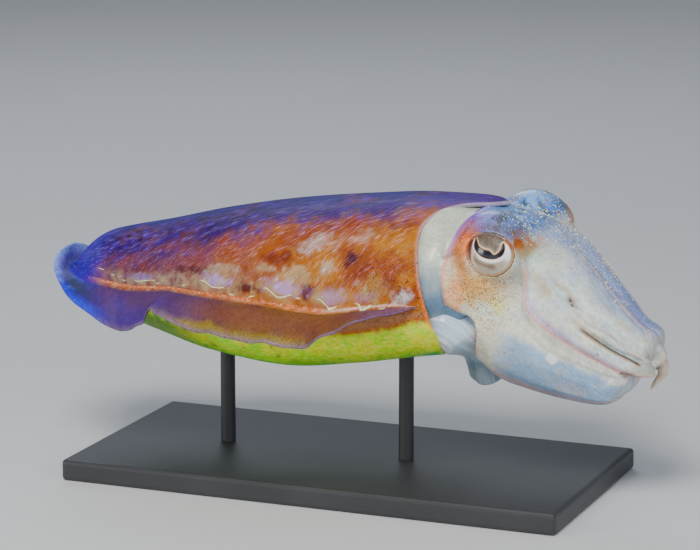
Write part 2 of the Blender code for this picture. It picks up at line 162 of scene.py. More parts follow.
def tilted(x: Array, z: Array, tilt: Array, sideways: Array, upward: Array) -> Array:
    """Points of sections in the plane of symmetry whose tops lean forwards by tilt degrees."""
    lean = np.radians(tilt)
    return np.stack([x + upward * np.sin(lean), sideways, z + upward * np.cos(lean)], axis=-1)


def cloud(points: Array, size: float, seed: int, octaves: int = 3) -> Array:
    """Fractal noise at points.

    Args:
        points: Places, one row each.
        size: Width of the largest lumps.
        seed: Picks a different part of the noise.
        octaves: Layers of finer noise.

    Returns:
        About -1 to 1 for each point.
    """
    shift = Vector((7.31, 3.17, 5.53)) * seed
    return np.array([noise.fractal(Vector(point) / size + shift, 1.0, 2.0, octaves) for point in points])


def grid_faces(rings: int, points: int) -> list[tuple[int, ...]]:
    """Quads between neighbouring rings of as many points each.

    Args:
        rings: How many rings.
        points: Points in each.

    Returns:
        Indices of the corners of each face.
    """
    faces = []
    for i in range(rings - 1):
        for k in range(points):
            j = (k + 1) % points
            faces.append((i * points + k, i * points + j, (i + 1) * points + j, (i + 1) * points + k))
    return faces


def new_mesh(name: str, points: Array, faces: Sequence[Sequence[int]]) -> Piece:
    """Mesh object from points and faces.

    Args:
        name: Name of the piece.
        points: Places, one row each.
        faces: Indices of the corners of each face.

    Returns:
        The linked object, at the origin.
    """
    mesh = bpy.data.meshes.new(name)
    mesh.from_pydata([tuple(point) for point in points], [], faces)
    mesh.update()
    piece = bpy.data.objects.new(name, mesh)
    bpy.context.scene.collection.objects.link(piece)
    return piece


def closed_loft(name: str, rings: Array, end: Array | None = None) -> Piece:
    """Closed shape through rings of points, with a pole at either end.

    Args:
        name: Name of the piece.
        rings: Places by ring, point and axis.
        end: Last pole, where it isn't the middle of the last ring.

    Returns:
        The linked object, whose last two points are the poles.
    """
    count, ring = rings.shape[:2]
    last = rings[-1].mean(axis=0) if end is None else end
    faces = grid_faces(count, ring)
    for k in range(ring):
        j = (k + 1) % ring
        faces.append((j, k, count * ring))
        faces.append(((count - 1) * ring + k, (count - 1) * ring + j, count * ring + 1))
    return new_mesh(name, np.vstack([rings.reshape(-1, 3), rings[0].mean(axis=0), last]), faces)


def select_only(pieces: Sequence[Piece]) -> None:
    """Selects these objects and makes the first one active."""
    bpy.ops.object.select_all(action="DESELECT")
    for piece in pieces:
        piece.select_set(True)
    bpy.context.view_layer.objects.active = pieces[0]


def clean(piece: Piece, merge: float = 1e-6) -> None:
    """Merges coinciding points and turns all faces outwards.

    Args:
        piece: The mesh object.
        merge: Distance in metres below which points coincide.
    """
    select_only([piece])
    bpy.ops.object.mode_set(mode="EDIT")
    bpy.ops.mesh.select_all(action="SELECT")
    bpy.ops.mesh.remove_doubles(threshold=merge)
    bpy.ops.mesh.dissolve_degenerate(threshold=merge)
    bpy.ops.mesh.normals_make_consistent(inside=False)
    bpy.ops.object.mode_set(mode="OBJECT")


def joined(name: str, pieces: Sequence[Piece]) -> Piece:
    """Joins pieces into one object of that name.

    Args:
        name: Name of the object.
        pieces: What is joined, at least one.

    Returns:
        The object, which takes the place of the first one.
    """
    select_only(pieces)
    if len(pieces) > 1:
        bpy.ops.object.join()
    piece = bpy.context.view_layer.objects.active
    piece.name = name
    piece.data.name = name
    return piece


def points_of(piece: Piece) -> Array:
    """Places of a mesh's points, one row each."""
    flat = np.empty(len(piece.data.vertices) * 3)
    piece.data.vertices.foreach_get("co", flat)
    return flat.reshape(-1, 3)


def set_points(piece: Piece, points: Array) -> None:
    """Moves a mesh's points."""
    piece.data.vertices.foreach_set("co", points.ravel())
    piece.data.update()


def normals_of(piece: Piece) -> Array:
    """Normals of a mesh's points, one row each."""
    flat = np.empty(len(piece.data.vertices) * 3)
    piece.data.vertex_normals.foreach_get("vector", flat)
    return flat.reshape(-1, 3)


def set_field(piece: Piece, name: str, values: Array) -> None:
    """Stores a number or a vector for each point, which the finish reads by name."""
    kind = "FLOAT" if values.ndim == 1 else "FLOAT_VECTOR"
    layer = piece.data.attributes.new(name, kind, "POINT")
    layer.data.foreach_set("value" if values.ndim == 1 else "vector", values.astype(np.float32).ravel())


def wear(piece: Piece, material: Material) -> None:
    """Gives all faces of a piece one material."""
    piece.data.materials.clear()
    piece.data.materials.append(material)


def set_marks(piece: Piece, tint: Array, flow: Row, weights: Row, thread: Row) -> None:
    """Stores what the finish of a moist skin reads, each for all or for each point.

    Args:
        piece: The mesh object.
        tint: Colours.
        flow: Millimetres across and along the fine lines.
        weights: Shares of lines, specks and dots.
        thread: Offset from a pale thread in millimetres, how strongly it shows, and extra gloss.
    """
    fields = {"tint": np.clip(tint, *TINT_LIMITS), "flow": flow, "weights": weights, "thread": thread}
    for name, values in fields.items():
        set_field(piece, name, np.broadcast_to(values, (len(piece.data.vertices), 3)))


def field_of(piece: Piece, name: str) -> Array:
    """Reads back a vector field, one row for each point."""
    flat = np.empty(len(piece.data.vertices) * 3, dtype=np.float32)
    piece.data.attributes[name].data.foreach_get("vector", flat)
    return flat.reshape(-1, 3).astype(float)


def blend(base: Array | Colour, colour: Array | Colour, weight: Array) -> Array:
    """Lays a colour over a ground, by a weight for each point."""
    base = np.asarray(base)
    return base + (np.asarray(colour) - base) * np.clip(weight, 0, 1)[:, None]


def layered(base: Array | Colour, *layers: tuple[Array | Colour, Array]) -> Array:
    """Lays colours over a ground, one after the other.

    Args:
        base: Ground colour, for all or for each point.
        layers: Colours with their weights, from 0 to 1 for each point.

    Returns:
        Colours, one row for each point.
    """
    for colour, weight in layers:
        base = blend(base, colour, weight)
    return base


@dataclass(frozen=True)
class Spot:
    """Soft-edged patch of colour on a skin that is mapped by two numbers."""

    place: Row
    reach: Row
    colour: Colour
    strength: float = 1.0
    slant: float = 0.0  # how far the first number moves for each unit of the second
    crisp: bool = False  # with a sharp edge

    def weight(self, first: Array, second: Array, ragged: Array) -> Array:
        """Strength of the patch at each point, with an edge made uneven by noise.

        Args:
            first: First number of the skin's map at each point.
            second: Second number.
            ragged: Noise at each point.

        Returns:
            0 to the patch's strength for each point.
        """
        rise = second - self.place[1]
        away = np.hypot((first - self.place[0] - self.slant * rise) / self.reach[0], rise / self.reach[1])
        if self.crisp:
            return self.strength * ease(1.1, 0.8, away + 0.06 * ragged)
        return self.strength * ease(1.35, 0.45, away + 0.8 * ragged)


def relax(piece: Piece, rounds: int, strength: Array | float = 0.5) -> None:
    """Evens out a mesh.

    Args:
        piece: The mesh object.
        rounds: How often each point moves towards its neighbours.
        strength: Share of the way that it moves, for all or for each point.
    """
    strength = np.reshape(strength, (-1, 1))
    count = len(piece.data.vertices)
    edges = np.empty(len(piece.data.edges) * 2, dtype=np.int64)
    piece.data.edges.foreach_get("vertices", edges)
    first, second = edges.reshape(-1, 2).T
    degree = np.bincount(first, minlength=count) + np.bincount(second, minlength=count)
    points = points_of(piece)
    for _ in range(rounds):
        total = np.stack(
            [
                np.bincount(first, points[second, axis], count)
                + np.bincount(second, points[first, axis], count)
                for axis in range(3)
            ],
            axis=-1,
        )
        points += strength * (total / np.maximum(degree, 1)[:, None] - points)
    set_points(piece, points)


def change_mesh(piece: Piece, kind: str, **settings: object) -> None:
    """Applies one modifier to a piece.

    Args:
        piece: The mesh object.
        kind: Name of the modifier's type.
        settings: Properties of the modifier.
    """
    change = piece.modifiers.new("change", kind)
    for name, value in settings.items():
        setattr(change, name, value)
    select_only([piece])
    bpy.ops.object.modifier_apply(modifier=change.name)


def smooth_shading(piece: Piece) -> None:
    """Shades all faces smooth."""
    select_only([piece])
    bpy.ops.object.shade_smooth()


class Weave:
    """Adds and links the nodes of one finish."""

    def __init__(self, name: str) -> None:
        """Starts an empty material."""
        self.material = bpy.data.materials.new(name)
        self.material.use_nodes = True
        self.tree = self.material.node_tree
        self.tree.nodes.clear()

    def node(
        self, kind: str, inputs: dict[str | int, object] | None = None, **settings: object
    ) -> bpy.types.Node:
        """Adds a node.

        Args:
            kind: Name of the node's type.
            inputs: Constants or sockets for its inputs.
            settings: Properties of the node.

        Returns:
            The node.
        """
        node = self.tree.nodes.new(kind)
        for name, value in settings.items():
            setattr(node, name, value)
        for name, value in (inputs or {}).items():
            if isinstance(value, Socket):
                self.tree.links.new(value, node.inputs[name])
            else:
                node.inputs[name].default_value = value
        return node

    def field(self, name: str) -> Socket:
        """Vector or colour stored on the piece."""
        return self.node("ShaderNodeAttribute", attribute_name=name).outputs["Vector"]

    def parts(self, vector: Socket) -> tuple[Socket, ...]:
        """The three numbers of a vector."""
        return tuple(self.node("ShaderNodeSeparateXYZ", {"Vector": vector}).outputs)

    def vector(self, *numbers: object) -> Socket:
        """Vector from three numbers."""
        return self.node("ShaderNodeCombineXYZ", dict(enumerate(numbers))).outputs[0]

    def place(self) -> Socket:
        """Place on the piece, in metres."""
        return self.node("ShaderNodeTexCoord").outputs["Object"]

    def maths(self, operation: str, first: object, second: object = 0.0) -> Socket:
        """One sum on two numbers."""
        return self.node("ShaderNodeMath", {0: first, 1: second}, operation=operation).outputs[0]

    def plus(self, first: object, second: object) -> Socket:
        """Sum of two numbers."""
        return self.maths("ADD", first, second)

    def times(self, first: object, second: object) -> Socket:
        """Product of two numbers."""
        return self.maths("MULTIPLY", first, second)

    def weighed(self, *parts: tuple[object, float]) -> Socket:
        """Sum of numbers, each times its own weight."""
        total = 0.0
        for value, weight in parts:
            total = self.plus(total, self.times(value, weight))
        return total

    def step(self, value: object, low: float, high: float, top: float = 1.0) -> Socket:
        """Smooth step from 0 at low to top at high."""
        sizes = {"Value": value, "From Min": low, "From Max": high, "To Min": 0.0, "To Max": top}
        return self.node("ShaderNodeMapRange", sizes, interpolation_type="SMOOTHSTEP").outputs["Result"]

    def scaled(self, value: object, low: float, high: float) -> Socket:
        """Number between low and high for a value from 0 to 1."""
        sizes = {"Value": value, "To Min": low, "To Max": high}
        return self.node("ShaderNodeMapRange", sizes).outputs["Result"]

    def mix(self, share: object, base: object, other: object) -> Socket:
        """Colour between base and other.

        Args:
            share: 0 for the base, 1 for the other.
            base: First colour.
            other: Second colour.

        Returns:
            The mixed colour.
        """
        node = self.node("ShaderNodeMix", {0: share}, data_type="RGBA")
        for i, colour in ((6, base), (7, other)):
            if isinstance(colour, Socket):
                self.tree.links.new(colour, node.inputs[i])
            else:
                node.inputs[i].default_value = (*colour, 1)
        return node.outputs[2]

    def noise(self, vector: object, scale: float, detail: float = 2.0, roughness: float = 0.5) -> Socket:
        """Fractal noise from 0 to 1."""
        sizes = {"Vector": vector, "Scale": scale, "Detail": detail, "Roughness": roughness}
        return self.node("ShaderNodeTexNoise", sizes).outputs[0]

    def cells(self, vector: object, scale: float, feature: str = "F1") -> Socket:
        """Distance from the middle of scattered cells."""
        sizes = {"Vector": vector, "Scale": scale}
        return self.node("ShaderNodeTexVoronoi", sizes, feature=feature).outputs["Distance"]

    def bump(self, height: object, distance: float, strength: float = 1.0) -> Socket:
        """Normal of a surface raised by height, which is distance metres high at 1."""
        inputs = {"Height": height, "Distance": distance, "Strength": strength}
        return self.node("ShaderNodeBump", inputs).outputs[0]

    def finish(self, colour: object, roughness: object, normal: object, **sockets: object) -> Material:
        """Ends the material with its shader.

        Args:
            colour: Base colour.
            roughness: Roughness.
            normal: Normal.
            sockets: Constants for other sockets, with _ for a space in their names.

        Returns:
            The material.
        """
        inputs = {"Base Color": colour, "Roughness": roughness, "Normal": normal}
        inputs |= {name.replace("_", " "): value for name, value in sockets.items()}
        shader = self.node("ShaderNodeBsdfPrincipled", inputs)
        self.node("ShaderNodeOutputMaterial", {"Surface": shader.outputs[0]})
        return self.material


@dataclass(frozen=True)
class WetSkin:
    """Moist skin: painted tints, specks of pigment, pale dots, hair-fine lines and threads."""

    name: str
    lines: Colour = (0.5, 0.38, 0.78)
    specks: Colour = (0.055, 0.018, 0.014)
    dots: Colour = (0.8, 0.8, 0.66)
    thread: Colour = (0.82, 0.8, 0.45)
    speck_size: float = 0.00065
    dot_size: float = 0.0016
    strength: float = 1.2  # of the tints' colour
    line_pitch: float = 1.15  # lines across one millimetre, about
    gloss: float = 0.36
    shine: float = 0.5
    coat: float = 0.35
    glow: float = 0.08
    line_paint: float = 0.7  # share of the lines' own colour in them
    mottle: float = 0.35  # fine unevenness of the tints' brightness

    def make(self) -> Material:
        """Makes the material, which reads the fields tint, flow, weights and thread.

        Returns:
            The finish.
        """
        weave = Weave(self.name)
        place = weave.place()
        across, along, _ = weave.parts(weave.field("flow"))
        line_share, speck_share, dot_share = weave.parts(weave.field("weights"))
        offset, thread_share, wet = weave.parts(weave.field("thread"))

        lumps = weave.noise(place, 95.0, 3.0)
        flow = weave.vector(across, weave.times(along, 0.24), 0.0)
        fine_line = weave.noise(flow, self.line_pitch, 1.5, 0.45)
        wide_line = weave.noise(weave.vector(across, weave.times(along, 0.2), 4.0), 0.3, 1.0, 0.5)
        patchy = weave.step(wide_line, 0.34, 0.62)
        light_line = weave.times(weave.step(fine_line, 0.51, 0.63), weave.times(line_share, patchy))
        dark_line = weave.times(weave.step(fine_line, 0.48, 0.38), weave.times(line_share, 0.4))

        colour = weave.field("tint")
        small = weave.scaled(weave.noise(place, 560.0, 3.0, 0.6), 1 - self.mottle, 1 + self.mottle)
        uneven = weave.times(weave.scaled(lumps, 0.72, 1.26), small)
        shade = {"Color": colour, "Saturation": self.strength, "Value": uneven}
        colour = weave.node("ShaderNodeHueSaturation", shade).outputs[0]
        lit = {"Color": colour, "Saturation": 0.8, "Value": 2.1}
        lit_colour = weave.node("ShaderNodeHueSaturation", lit).outputs[0]
        lit_line = weave.mix(self.line_paint, lit_colour, self.lines)
        colour = weave.mix(dark_line, colour, (0.05, 0.015, 0.04))
        colour = weave.mix(light_line, colour, lit_line)
        grain = weave.cells(place, 1 / self.speck_size)
        grain_size = weave.noise(place, 420.0, 2.0)
        grain_edge = weave.maths("SUBTRACT", weave.scaled(grain_size, 0.15, 0.62), grain)
        speck = weave.times(weave.step(grain_edge, 0.0, 0.14), speck_share)
        colour = weave.mix(speck, colour, self.specks)
        dot_field = weave.cells(place, 1 / self.dot_size)
        dot_room = weave.scaled(weave.noise(place, 330.0, 2.0), -0.16, 0.34)
        dot_room = weave.plus(dot_room, weave.times(dot_share, 0.2))
        dot_edge = weave.maths("SUBTRACT", dot_room, dot_field)
        dot = weave.times(weave.step(dot_edge, 0.0, 0.08), weave.step(dot_share, 0.0, 0.3))
        colour = weave.mix(dot, colour, self.dots)
        wobble = weave.plus(offset, weave.scaled(weave.noise(place, 700.0, 1.0), -0.25, 0.25))
        line = weave.times(weave.step(weave.maths("ABSOLUTE", wobble), 0.42, 0.22), thread_share)
        colour = weave.mix(line, colour, self.thread)

        pores = weave.cells(place, 1100.0)
        height = weave.weighed(
            (lumps, 0.8), (pores, -0.22), (light_line, 0.35), (dot, 0.9), (line, 0.9), (speck, -0.12)
        )
        rough = weave.scaled(lumps, self.gloss - 0.08, self.gloss + 0.12)
        rough = weave.weighed((rough, 1.0), (wet, -0.12))
        return weave.finish(
            colour,
            rough,
            weave.bump(height, 0.00042),
            Subsurface_Weight=self.glow,
            Subsurface_Radius=(1.0, 0.55, 0.4),
            Subsurface_Scale=0.0025,
            Specular_IOR_Level=self.shine,
            Coat_Weight=self.coat,
            Coat_Roughness=0.2,
        )


@dataclass(frozen=True)
class PaleFlesh:
    """Smooth white flesh of the funnel, with fine grooves along it."""

    name: str

    def make(self) -> Material:
        """Makes the material, which reads the fields tint and lay.

        Returns:
            The finish.
        """
        weave = Weave(self.name)
        place = weave.place()
        run, degrees, _ = weave.parts(weave.field("lay"))
        stretched = weave.vector(weave.times(degrees, 0.9), weave.times(run, 3.0), 0.0)
        groove = weave.noise(stretched, 0.8, 2.0, 0.45)
        lumps = weave.noise(place, 120.0, 3.0)
        # The grooves are painted darker and their crests paler, following the same noise as the bump:
        # painted shade and highlight.
        colour = weave.mix(weave.step(groove, 0.56, 0.34, 0.42), weave.field("tint"), (0.2, 0.3, 0.36))
        colour = weave.mix(weave.step(groove, 0.58, 0.72, 0.5), colour, (0.86, 0.92, 0.95))
        colour = weave.mix(weave.step(lumps, 0.5, 0.75, 0.25), colour, (0.62, 0.6, 0.5))
        height = weave.weighed((groove, 0.9), (lumps, 0.35))
        return weave.finish(
            colour,
            weave.scaled(lumps, 0.26, 0.42),
            weave.bump(height, 0.00035),
            Subsurface_Weight=0.22,
            Subsurface_Radius=(0.8, 0.9, 1.0),
            Subsurface_Scale=0.003,
            Coat_Weight=0.5,
            Coat_Roughness=0.12,
        )


@dataclass(frozen=True)
class EyeGloss:
    """Clear wet eye: dark pupil, bright rim, brown hood above and a cream white below."""

    name: str

    def make(self) -> Material:
        """Makes the material, which reads the fields tint and eye.

        Returns:
            The finish.
        """
        weave = Weave(self.name)
        place = weave.place()
        pupil, hood, _ = weave.parts(weave.field("eye"))
        grain = weave.noise(place, 1500.0, 3.0, 0.6)
        pores = weave.cells(place, 900.0)
        colour = weave.field("tint")
        hood_share = weave.step(hood, -0.05, 0.35)
        mottled = weave.mix(weave.step(grain, 0.4, 0.62), (0.04, 0.03, 0.02), (0.145, 0.092, 0.05))
        mottled = weave.mix(weave.step(pores, 0.22, 0.1, 0.55), mottled, (0.5, 0.46, 0.36))
        colour = weave.mix(weave.times(hood_share, 0.85), colour, mottled)
        edge = weave.step(weave.maths("ABSOLUTE", weave.plus(pupil, 0.42)), 0.5, 0.26)
        upper = weave.step(hood, -1.1, -0.5)
        rim = weave.mix(upper, (0.95, 0.9, 0.86), (0.92, 0.62, 0.3))
        colour = weave.mix(edge, colour, rim)
        warm = weave.step(weave.maths("ABSOLUTE", weave.plus(pupil, 0.1)), 0.2, 0.05, 0.85)
        colour = weave.mix(warm, colour, (0.8, 0.28, 0.08))
        colour = weave.mix(weave.step(pupil, -0.08, 0.06), colour, (0.006, 0.007, 0.016))
        height = weave.times(weave.plus(grain, weave.times(pores, -0.5)), hood_share)
        return weave.finish(
            colour,
            weave.plus(weave.scaled(grain, 0.12, 0.26), weave.times(hood_share, 0.35)),
            weave.bump(height, 0.00015),
            Specular_IOR_Level=0.5,
            Coat_Weight=weave.maths("SUBTRACT", 0.8, weave.times(hood_share, 0.75)),
            Coat_Roughness=0.03,
            Coat_IOR=1.38,
        )


@dataclass(frozen=True)
class PowderCoat:
    """Dark satin powder coat of the stand."""

    name: str
    colour: Colour = (0.03, 0.032, 0.036)

    def make(self) -> Material:
        """Makes the material, with a fine orange-peel surface and slight wear.

        Returns:
            The finish.
        """
        weave = Weave(self.name)
        place = weave.place()
        peel = weave.noise(place, 900.0, 2.0, 0.55)
        cloudy = weave.noise(place, 14.0, 4.0, 0.6)
        scuff = weave.noise(place, 160.0, 5.0, 0.7)
        colour = weave.mix(weave.step(cloudy, 0.35, 0.7, 0.5), self.colour, (0.048, 0.05, 0.054))
        colour = weave.mix(weave.step(scuff, 0.66, 0.78, 0.35), colour, (0.11, 0.11, 0.11))
        rough = weave.plus(weave.scaled(cloudy, 0.38, 0.52), weave.step(scuff, 0.6, 0.8, 0.12))
        height = weave.weighed((peel, 1.0), (scuff, 0.3))
        return weave.finish(colour, rough, weave.bump(height, 0.00012), Specular_IOR_Level=0.45)


@dataclass(frozen=True)
class PaleFloor:
    """Plain matt floor."""

    name: str

    def make(self) -> Material:
        """The finish."""
        weave = Weave(self.name)
        fine = weave.noise(weave.place(), 60.0, 3.0)
        colour = weave.mix(weave.step(fine, 0.3, 0.7, 0.3), (0.66, 0.67, 0.68), (0.62, 0.63, 0.645))
        return weave.finish(colour, weave.scaled(fine, 0.62, 0.74), weave.bump(fine, 0.0001))


@dataclass
class MantleSkin:
    """The sac and its two fins as one closed skin, with a rolled rim round the neck."""

    axis: float
    tail_x: float = -0.14
    tail_rounding: float = 0.022
    recess_x: float = 0.0437
    roundness: float = 2.1
    rim_roll: float = 0.001
    stations: int = 270
    back_points: int = 96
    belly_points: int = 64
    fin_points: int = 16
    fin_spacing: float = 1.15  # above 1 the points are closer together at the root
    fillet_points: int = 8
    fin_edge: float = 0.00042
    fin_root: float = 0.0013
    curl_reach: float = 0.008
    join_reach: float = 0.0034
    cord_rise: float = 0.0009
    fin_front_x: float = 0.0515
    widest_fin: float = 0.0205
    pale_from: float = 0.25  # lowest of a patch's three colour values from which it counts as pale
    # x, half width, top, bottom
    profile: tuple[Row, ...] = (
        (-0.142, 0.014, 0.004, -0.016),
        (-0.128, 0.02, 0.0105, -0.021),
        (-0.112, 0.0265, 0.015, -0.0265),
        (-0.092, 0.034, 0.0195, -0.032),
        (-0.062, 0.043, 0.027, -0.0395),
        (-0.025, 0.048, 0.034, -0.043),
        (0.01, 0.0485, 0.0385, -0.0385),
        (0.04, 0.046, 0.0412, -0.033),
        (0.06, 0.044, 0.0415, -0.03),
        (0.082, 0.04, 0.0395, -0.028),
    )
    # x, height of the widest line
    flank: tuple[Row, ...] = (
        (-0.142, -0.0075), (-0.1, -0.0085), (-0.07, -0.0055), (-0.03, -0.006), (0.005, -0.008),
        (0.03, -0.0045), (0.082, 0.002),
    )
    # degrees from the top, x of the rim
    rim: tuple[Row, ...] = (
        (0, 0.0775), (8, 0.073), (17, 0.06), (27, 0.051), (42, 0.0465), (70, 0.0495), (100, 0.055),
        (128, 0.057), (150, 0.0545), (180, 0.049),
    )
    # x of the root, width, droop on the right side, droop on the left side
    fins: tuple[Row, ...] = (
        (0.047, 0.002, 10, 10),
        (0.04, 0.01, 4, 6),
        (0.026, 0.016, 6, 12),
        (0.015, 0.019, 22, 25),
        (0.004, 0.0205, 45, 40),
        (-0.022, 0.0215, 47, 48),
        (-0.05, 0.0205, 43, 38),
        (-0.068, 0.018, 28, 18),
        (-0.071, 0.0165, 20, 20),
        (-0.078, 0.0195, 58, 38),
        (-0.091, 0.0215, 70, 46),
        (-0.117, 0.0155, 58, 22),
        (-0.1335, 0.0108, -8, -60),
        (-0.14, 0.0138, -98, -100),
    )
    # Pale threads above the fins, as x and degrees from the top
    marks: tuple[tuple[Row, ...], ...] = (
        ((-0.117, 73), (-0.114, 74)),
        ((-0.1085, 78), (-0.107, 78)),
        ((-0.1013, 82), (-0.0999, 82)),
        ((-0.0935, 81), (-0.0912, 82), (-0.0875, 81), (-0.085, 81)),
        ((-0.0838, 81), (-0.0822, 81)),
        ((-0.0806, 84), (-0.079, 83.5)),
        ((-0.0654, 84), (-0.0638, 83.5)),
        ((-0.0555, 78.5), (-0.0534, 79), (-0.0495, 82.5), (-0.0465, 82.8), (-0.0431, 82)),
        ((-0.0398, 86), (-0.038, 86)),
        ((-0.0294, 86), (-0.0274, 85.5)),
        ((-0.0222, 79.5), (-0.0206, 80), (-0.0159, 84.2), (-0.014, 84), (-0.0091, 81.5)),
        ((-0.0064, 83), (-0.005, 83)),
        ((0.004, 82), (0.0058, 83), (0.0095, 87), (0.0128, 86.2)),
        ((0.0222, 85.5), (0.0236, 86.5), (0.0256, 88), (0.0288, 87)),
        ((0.0342, 88), (0.036, 88)),
    )
    # Patches by x in millimetres and degrees from the top
    spots: tuple[Spot, ...] = (
        Spot((-31.1, 80.5), (5.5, 3.2), (0.075, 0.016, 0.012), 0.95),
        Spot((-1.5, 79), (3.0, 4.6), (0.085, 0.016, 0.012), 0.95),
        Spot((-17.0, 60), (6.5, 5.0), (0.14, 0.028, 0.014), 0.8, -0.6),
        Spot((37.4, 39), (5.5, 4.0), (0.1, 0.02, 0.03), 0.5),
        Spot((17.8, 60), (4.2, 4.4), (0.055, 0.01, 0.016), 0.95, -0.3),
        Spot((-61.0, 71), (10.5, 3.4), (0.08, 0.018, 0.014), 0.9, -1.1),
        Spot((-90.0, 70), (7.0, 3.0), (0.11, 0.03, 0.04), 0.6, -0.8),
        Spot((-90.0, 78), (7.0, 3.2), (0.22, 0.17, 0.44), 0.6),
        Spot((-48.2, 77), (8.0, 4.4), (0.4, 0.32, 0.66), 0.6),
        Spot((-13.2, 78), (8.5, 4.2), (0.42, 0.34, 0.66), 0.6),
        Spot((9.5, 81), (7.5, 3.8), (0.46, 0.34, 0.52), 0.6),
        Spot((27.0, 83), (5.5, 2.6), (0.36, 0.24, 0.36), 0.5),
        Spot((43.5, 84), (4.4, 4.2), (0.52, 0.47, 0.48), 0.95),
        Spot((-1.5, 50), (6.0, 7.0), (0.52, 0.4, 0.36), 0.75, -0.35),
        Spot((21.5, 46), (6.0, 5.0), (0.52, 0.34, 0.28), 0.6, -0.45),
        Spot((9.0, 50), (5.0, 5.0), (0.4, 0.26, 0.2), 0.5, -0.3),
        Spot((-24.7, 67), (5.0, 3.2), (0.42, 0.32, 0.2), 0.6, -0.4),
        Spot((5.9, 65), (3.6, 5.0), (0.44, 0.38, 0.3), 0.65, -0.2),
        Spot((-8.0, 70), (9.0, 5.0), (0.46, 0.4, 0.24), 0.6),
        Spot((30.1, 73), (4.0, 6.0), (0.5, 0.3, 0.12), 0.5),
        Spot((-45.0, 70), (9.0, 4.5), (0.4, 0.33, 0.24), 0.55),
        Spot((38.0, 66), (9.0, 9.0), (0.3, 0.085, 0.045), 0.55),
    )
    size_at: Curve = field(init=False)
    flank_at: Curve = field(init=False)
    rim_at: Curve = field(init=False)
    fin_at: Curve = field(init=False)

    def __post_init__(self) -> None:
        """Makes the curves through the rows of sizes."""
        self.size_at = monotone_curve(self.profile)
        self.flank_at = monotone_curve(self.flank)
        self.rim_at = monotone_curve(self.rim)
        self.fin_at = monotone_curve(self.fins)

    def rim_x(self, angle: Array) -> Array:
        """x of the rim at radians from the top."""
        wrapped = np.abs(np.degrees(np.arctan2(np.sin(angle), np.cos(angle))))
        return self.rim_at(wrapped)[..., 0]

    def outline(self, x: Array, angle: Array, inset: Array = 0.0) -> Array:
        """Points of the sac's surface.

        Args:
            x: Place along the body.
            angle: Radians from the top, positive to the left.
            inset: How far inside the outer surface.

        Returns:
            Places, with the last axis for x, y and z.
        """
        half_width, top, bottom = np.moveaxis(self.size_at(x), -1, 0)
        centre = self.flank_at(x)[..., 0]
        into = np.clip((x - self.tail_x) / self.tail_rounding, 0, 1)
        share = np.sqrt(1 - (1 - into) ** 2)
        sizes = [size * share - inset for size in (half_width, top - centre, centre - bottom)]
        sideways, upward = oval(angle, *sizes, self.roundness)
        return np.stack([x + 0 * angle, sideways, self.axis + centre + upward], axis=-1)

    def root_path(self) -> tuple[Array, Array, Array]:
        """Run, place and outward direction of the left fin's root, from the tail to the rim.

        Returns:
            Run, places and directions, one for each station.
        """
        length = float(self.rim_x(np.array(math.pi / 2))) - self.rim_roll - self.tail_x
        bend = np.linspace(0, math.pi / 2, 4000)
        x = self.tail_x + length * (1 - np.cos(bend))
        path = self.outline(x, np.full_like(x, math.pi / 2))
        runs = np.concatenate([[0], np.cumsum(np.linalg.norm(np.diff(path, axis=0), axis=1))])
        run = runs[-1] * np.linspace(0, 1, self.stations)
        place = np.stack([np.interp(run, runs, path[:, axis]) for axis in range(3)], axis=-1)
        along = np.gradient(place, run, axis=0)
        outward = np.stack([-along[:, 1], along[:, 0], 0 * run], axis=-1)
        outward[0] = (-1, 0, 0)
        return run, place, outward / np.linalg.norm(outward, axis=1)[:, None]

    def fin_flap(
        self, side: Side, run: Array, root: Array, outward: Array, edges: Array
    ) -> tuple[Array, Array]:
        """Section of one fin at every station, from its upper to its lower join with the sac.

        Args:
            side: Which fin.
            run: Distance along the root.
            root: Places of the root on the left side.
            outward: Directions out of the left side.
            edges: Upper and lower places where the fin leaves the sac, on the left side.

        Returns:
            Places of stations by points, and each point's share of the fin's width, which is below 0 on the
            ridge at its root.
        """
        width, right, left = np.moveaxis(self.fin_at(root[:, 0]), -1, 0)
        middle = ease(0, 0.008, run)
        droop = (left + right) / 2 + (left - right) / 2 * middle * side.value
        share = np.linspace(0, 1, self.fin_points + 1) ** self.fin_spacing
        reach = width[:, None] * share
        ruffle = 7 * np.sin(run * 2 * math.pi / 0.024 + side.value) + 4 * np.sin(run * 2 * math.pi / 0.0131)
        ruffle = (ruffle * ease(0, 0.02, run) * ease(0.005, 0.016, width))[:, None] * share**2
        middle_reach = (reach[:, 1:] + reach[:, :-1]) / 2
        ramp = np.clip(middle_reach / self.curl_reach, 0, 1)
        curl = np.radians(droop[:, None] * ramp + (ruffle[:, 1:] + ruffle[:, :-1]) / 2)
        step = np.diff(reach, axis=1)
        up = np.array([0, 0, 1.0])
        steps = outward[:, None] * (step * np.cos(curl))[..., None] - up * (step * np.sin(curl))[..., None]
        line = root[:, None] + np.concatenate([0 * steps[:, :1], np.cumsum(steps, axis=1)], axis=1)
        turn = np.concatenate([curl[:, :1], (curl[:, 1:] + curl[:, :-1]) / 2, curl[:, -1:]], axis=1)
        normal = outward[:, None] * np.sin(turn)[..., None] + up * np.cos(turn)[..., None]
        root_half = self.fin_root * np.minimum(1, width / 0.008)[:, None]
        half = self.fin_edge + (root_half - self.fin_edge) * (1 - share) ** 1.4
        half = np.minimum(half, 0.3 * width[:, None])
        leave = self.join_reach * np.minimum(1, width / 0.011)
        start = int(np.argmax(share > self.join_reach / self.widest_fin))
        faces = []
        for sign in (1, -1):
            sheet = line + sign * normal * half[..., None]
            stretch = leave[:, None] + (reach[:, start:] - reach[:, start:start + 1]) * (
                (width - leave) / (width - reach[:, start])
            )[:, None]
            k = (stretch / width[:, None]) ** (1 / self.fin_spacing) * self.fin_points
            k = np.clip(k, 0, self.fin_points)
            low = np.minimum(k.astype(int), self.fin_points - 1)
            part = (k - low)[..., None]
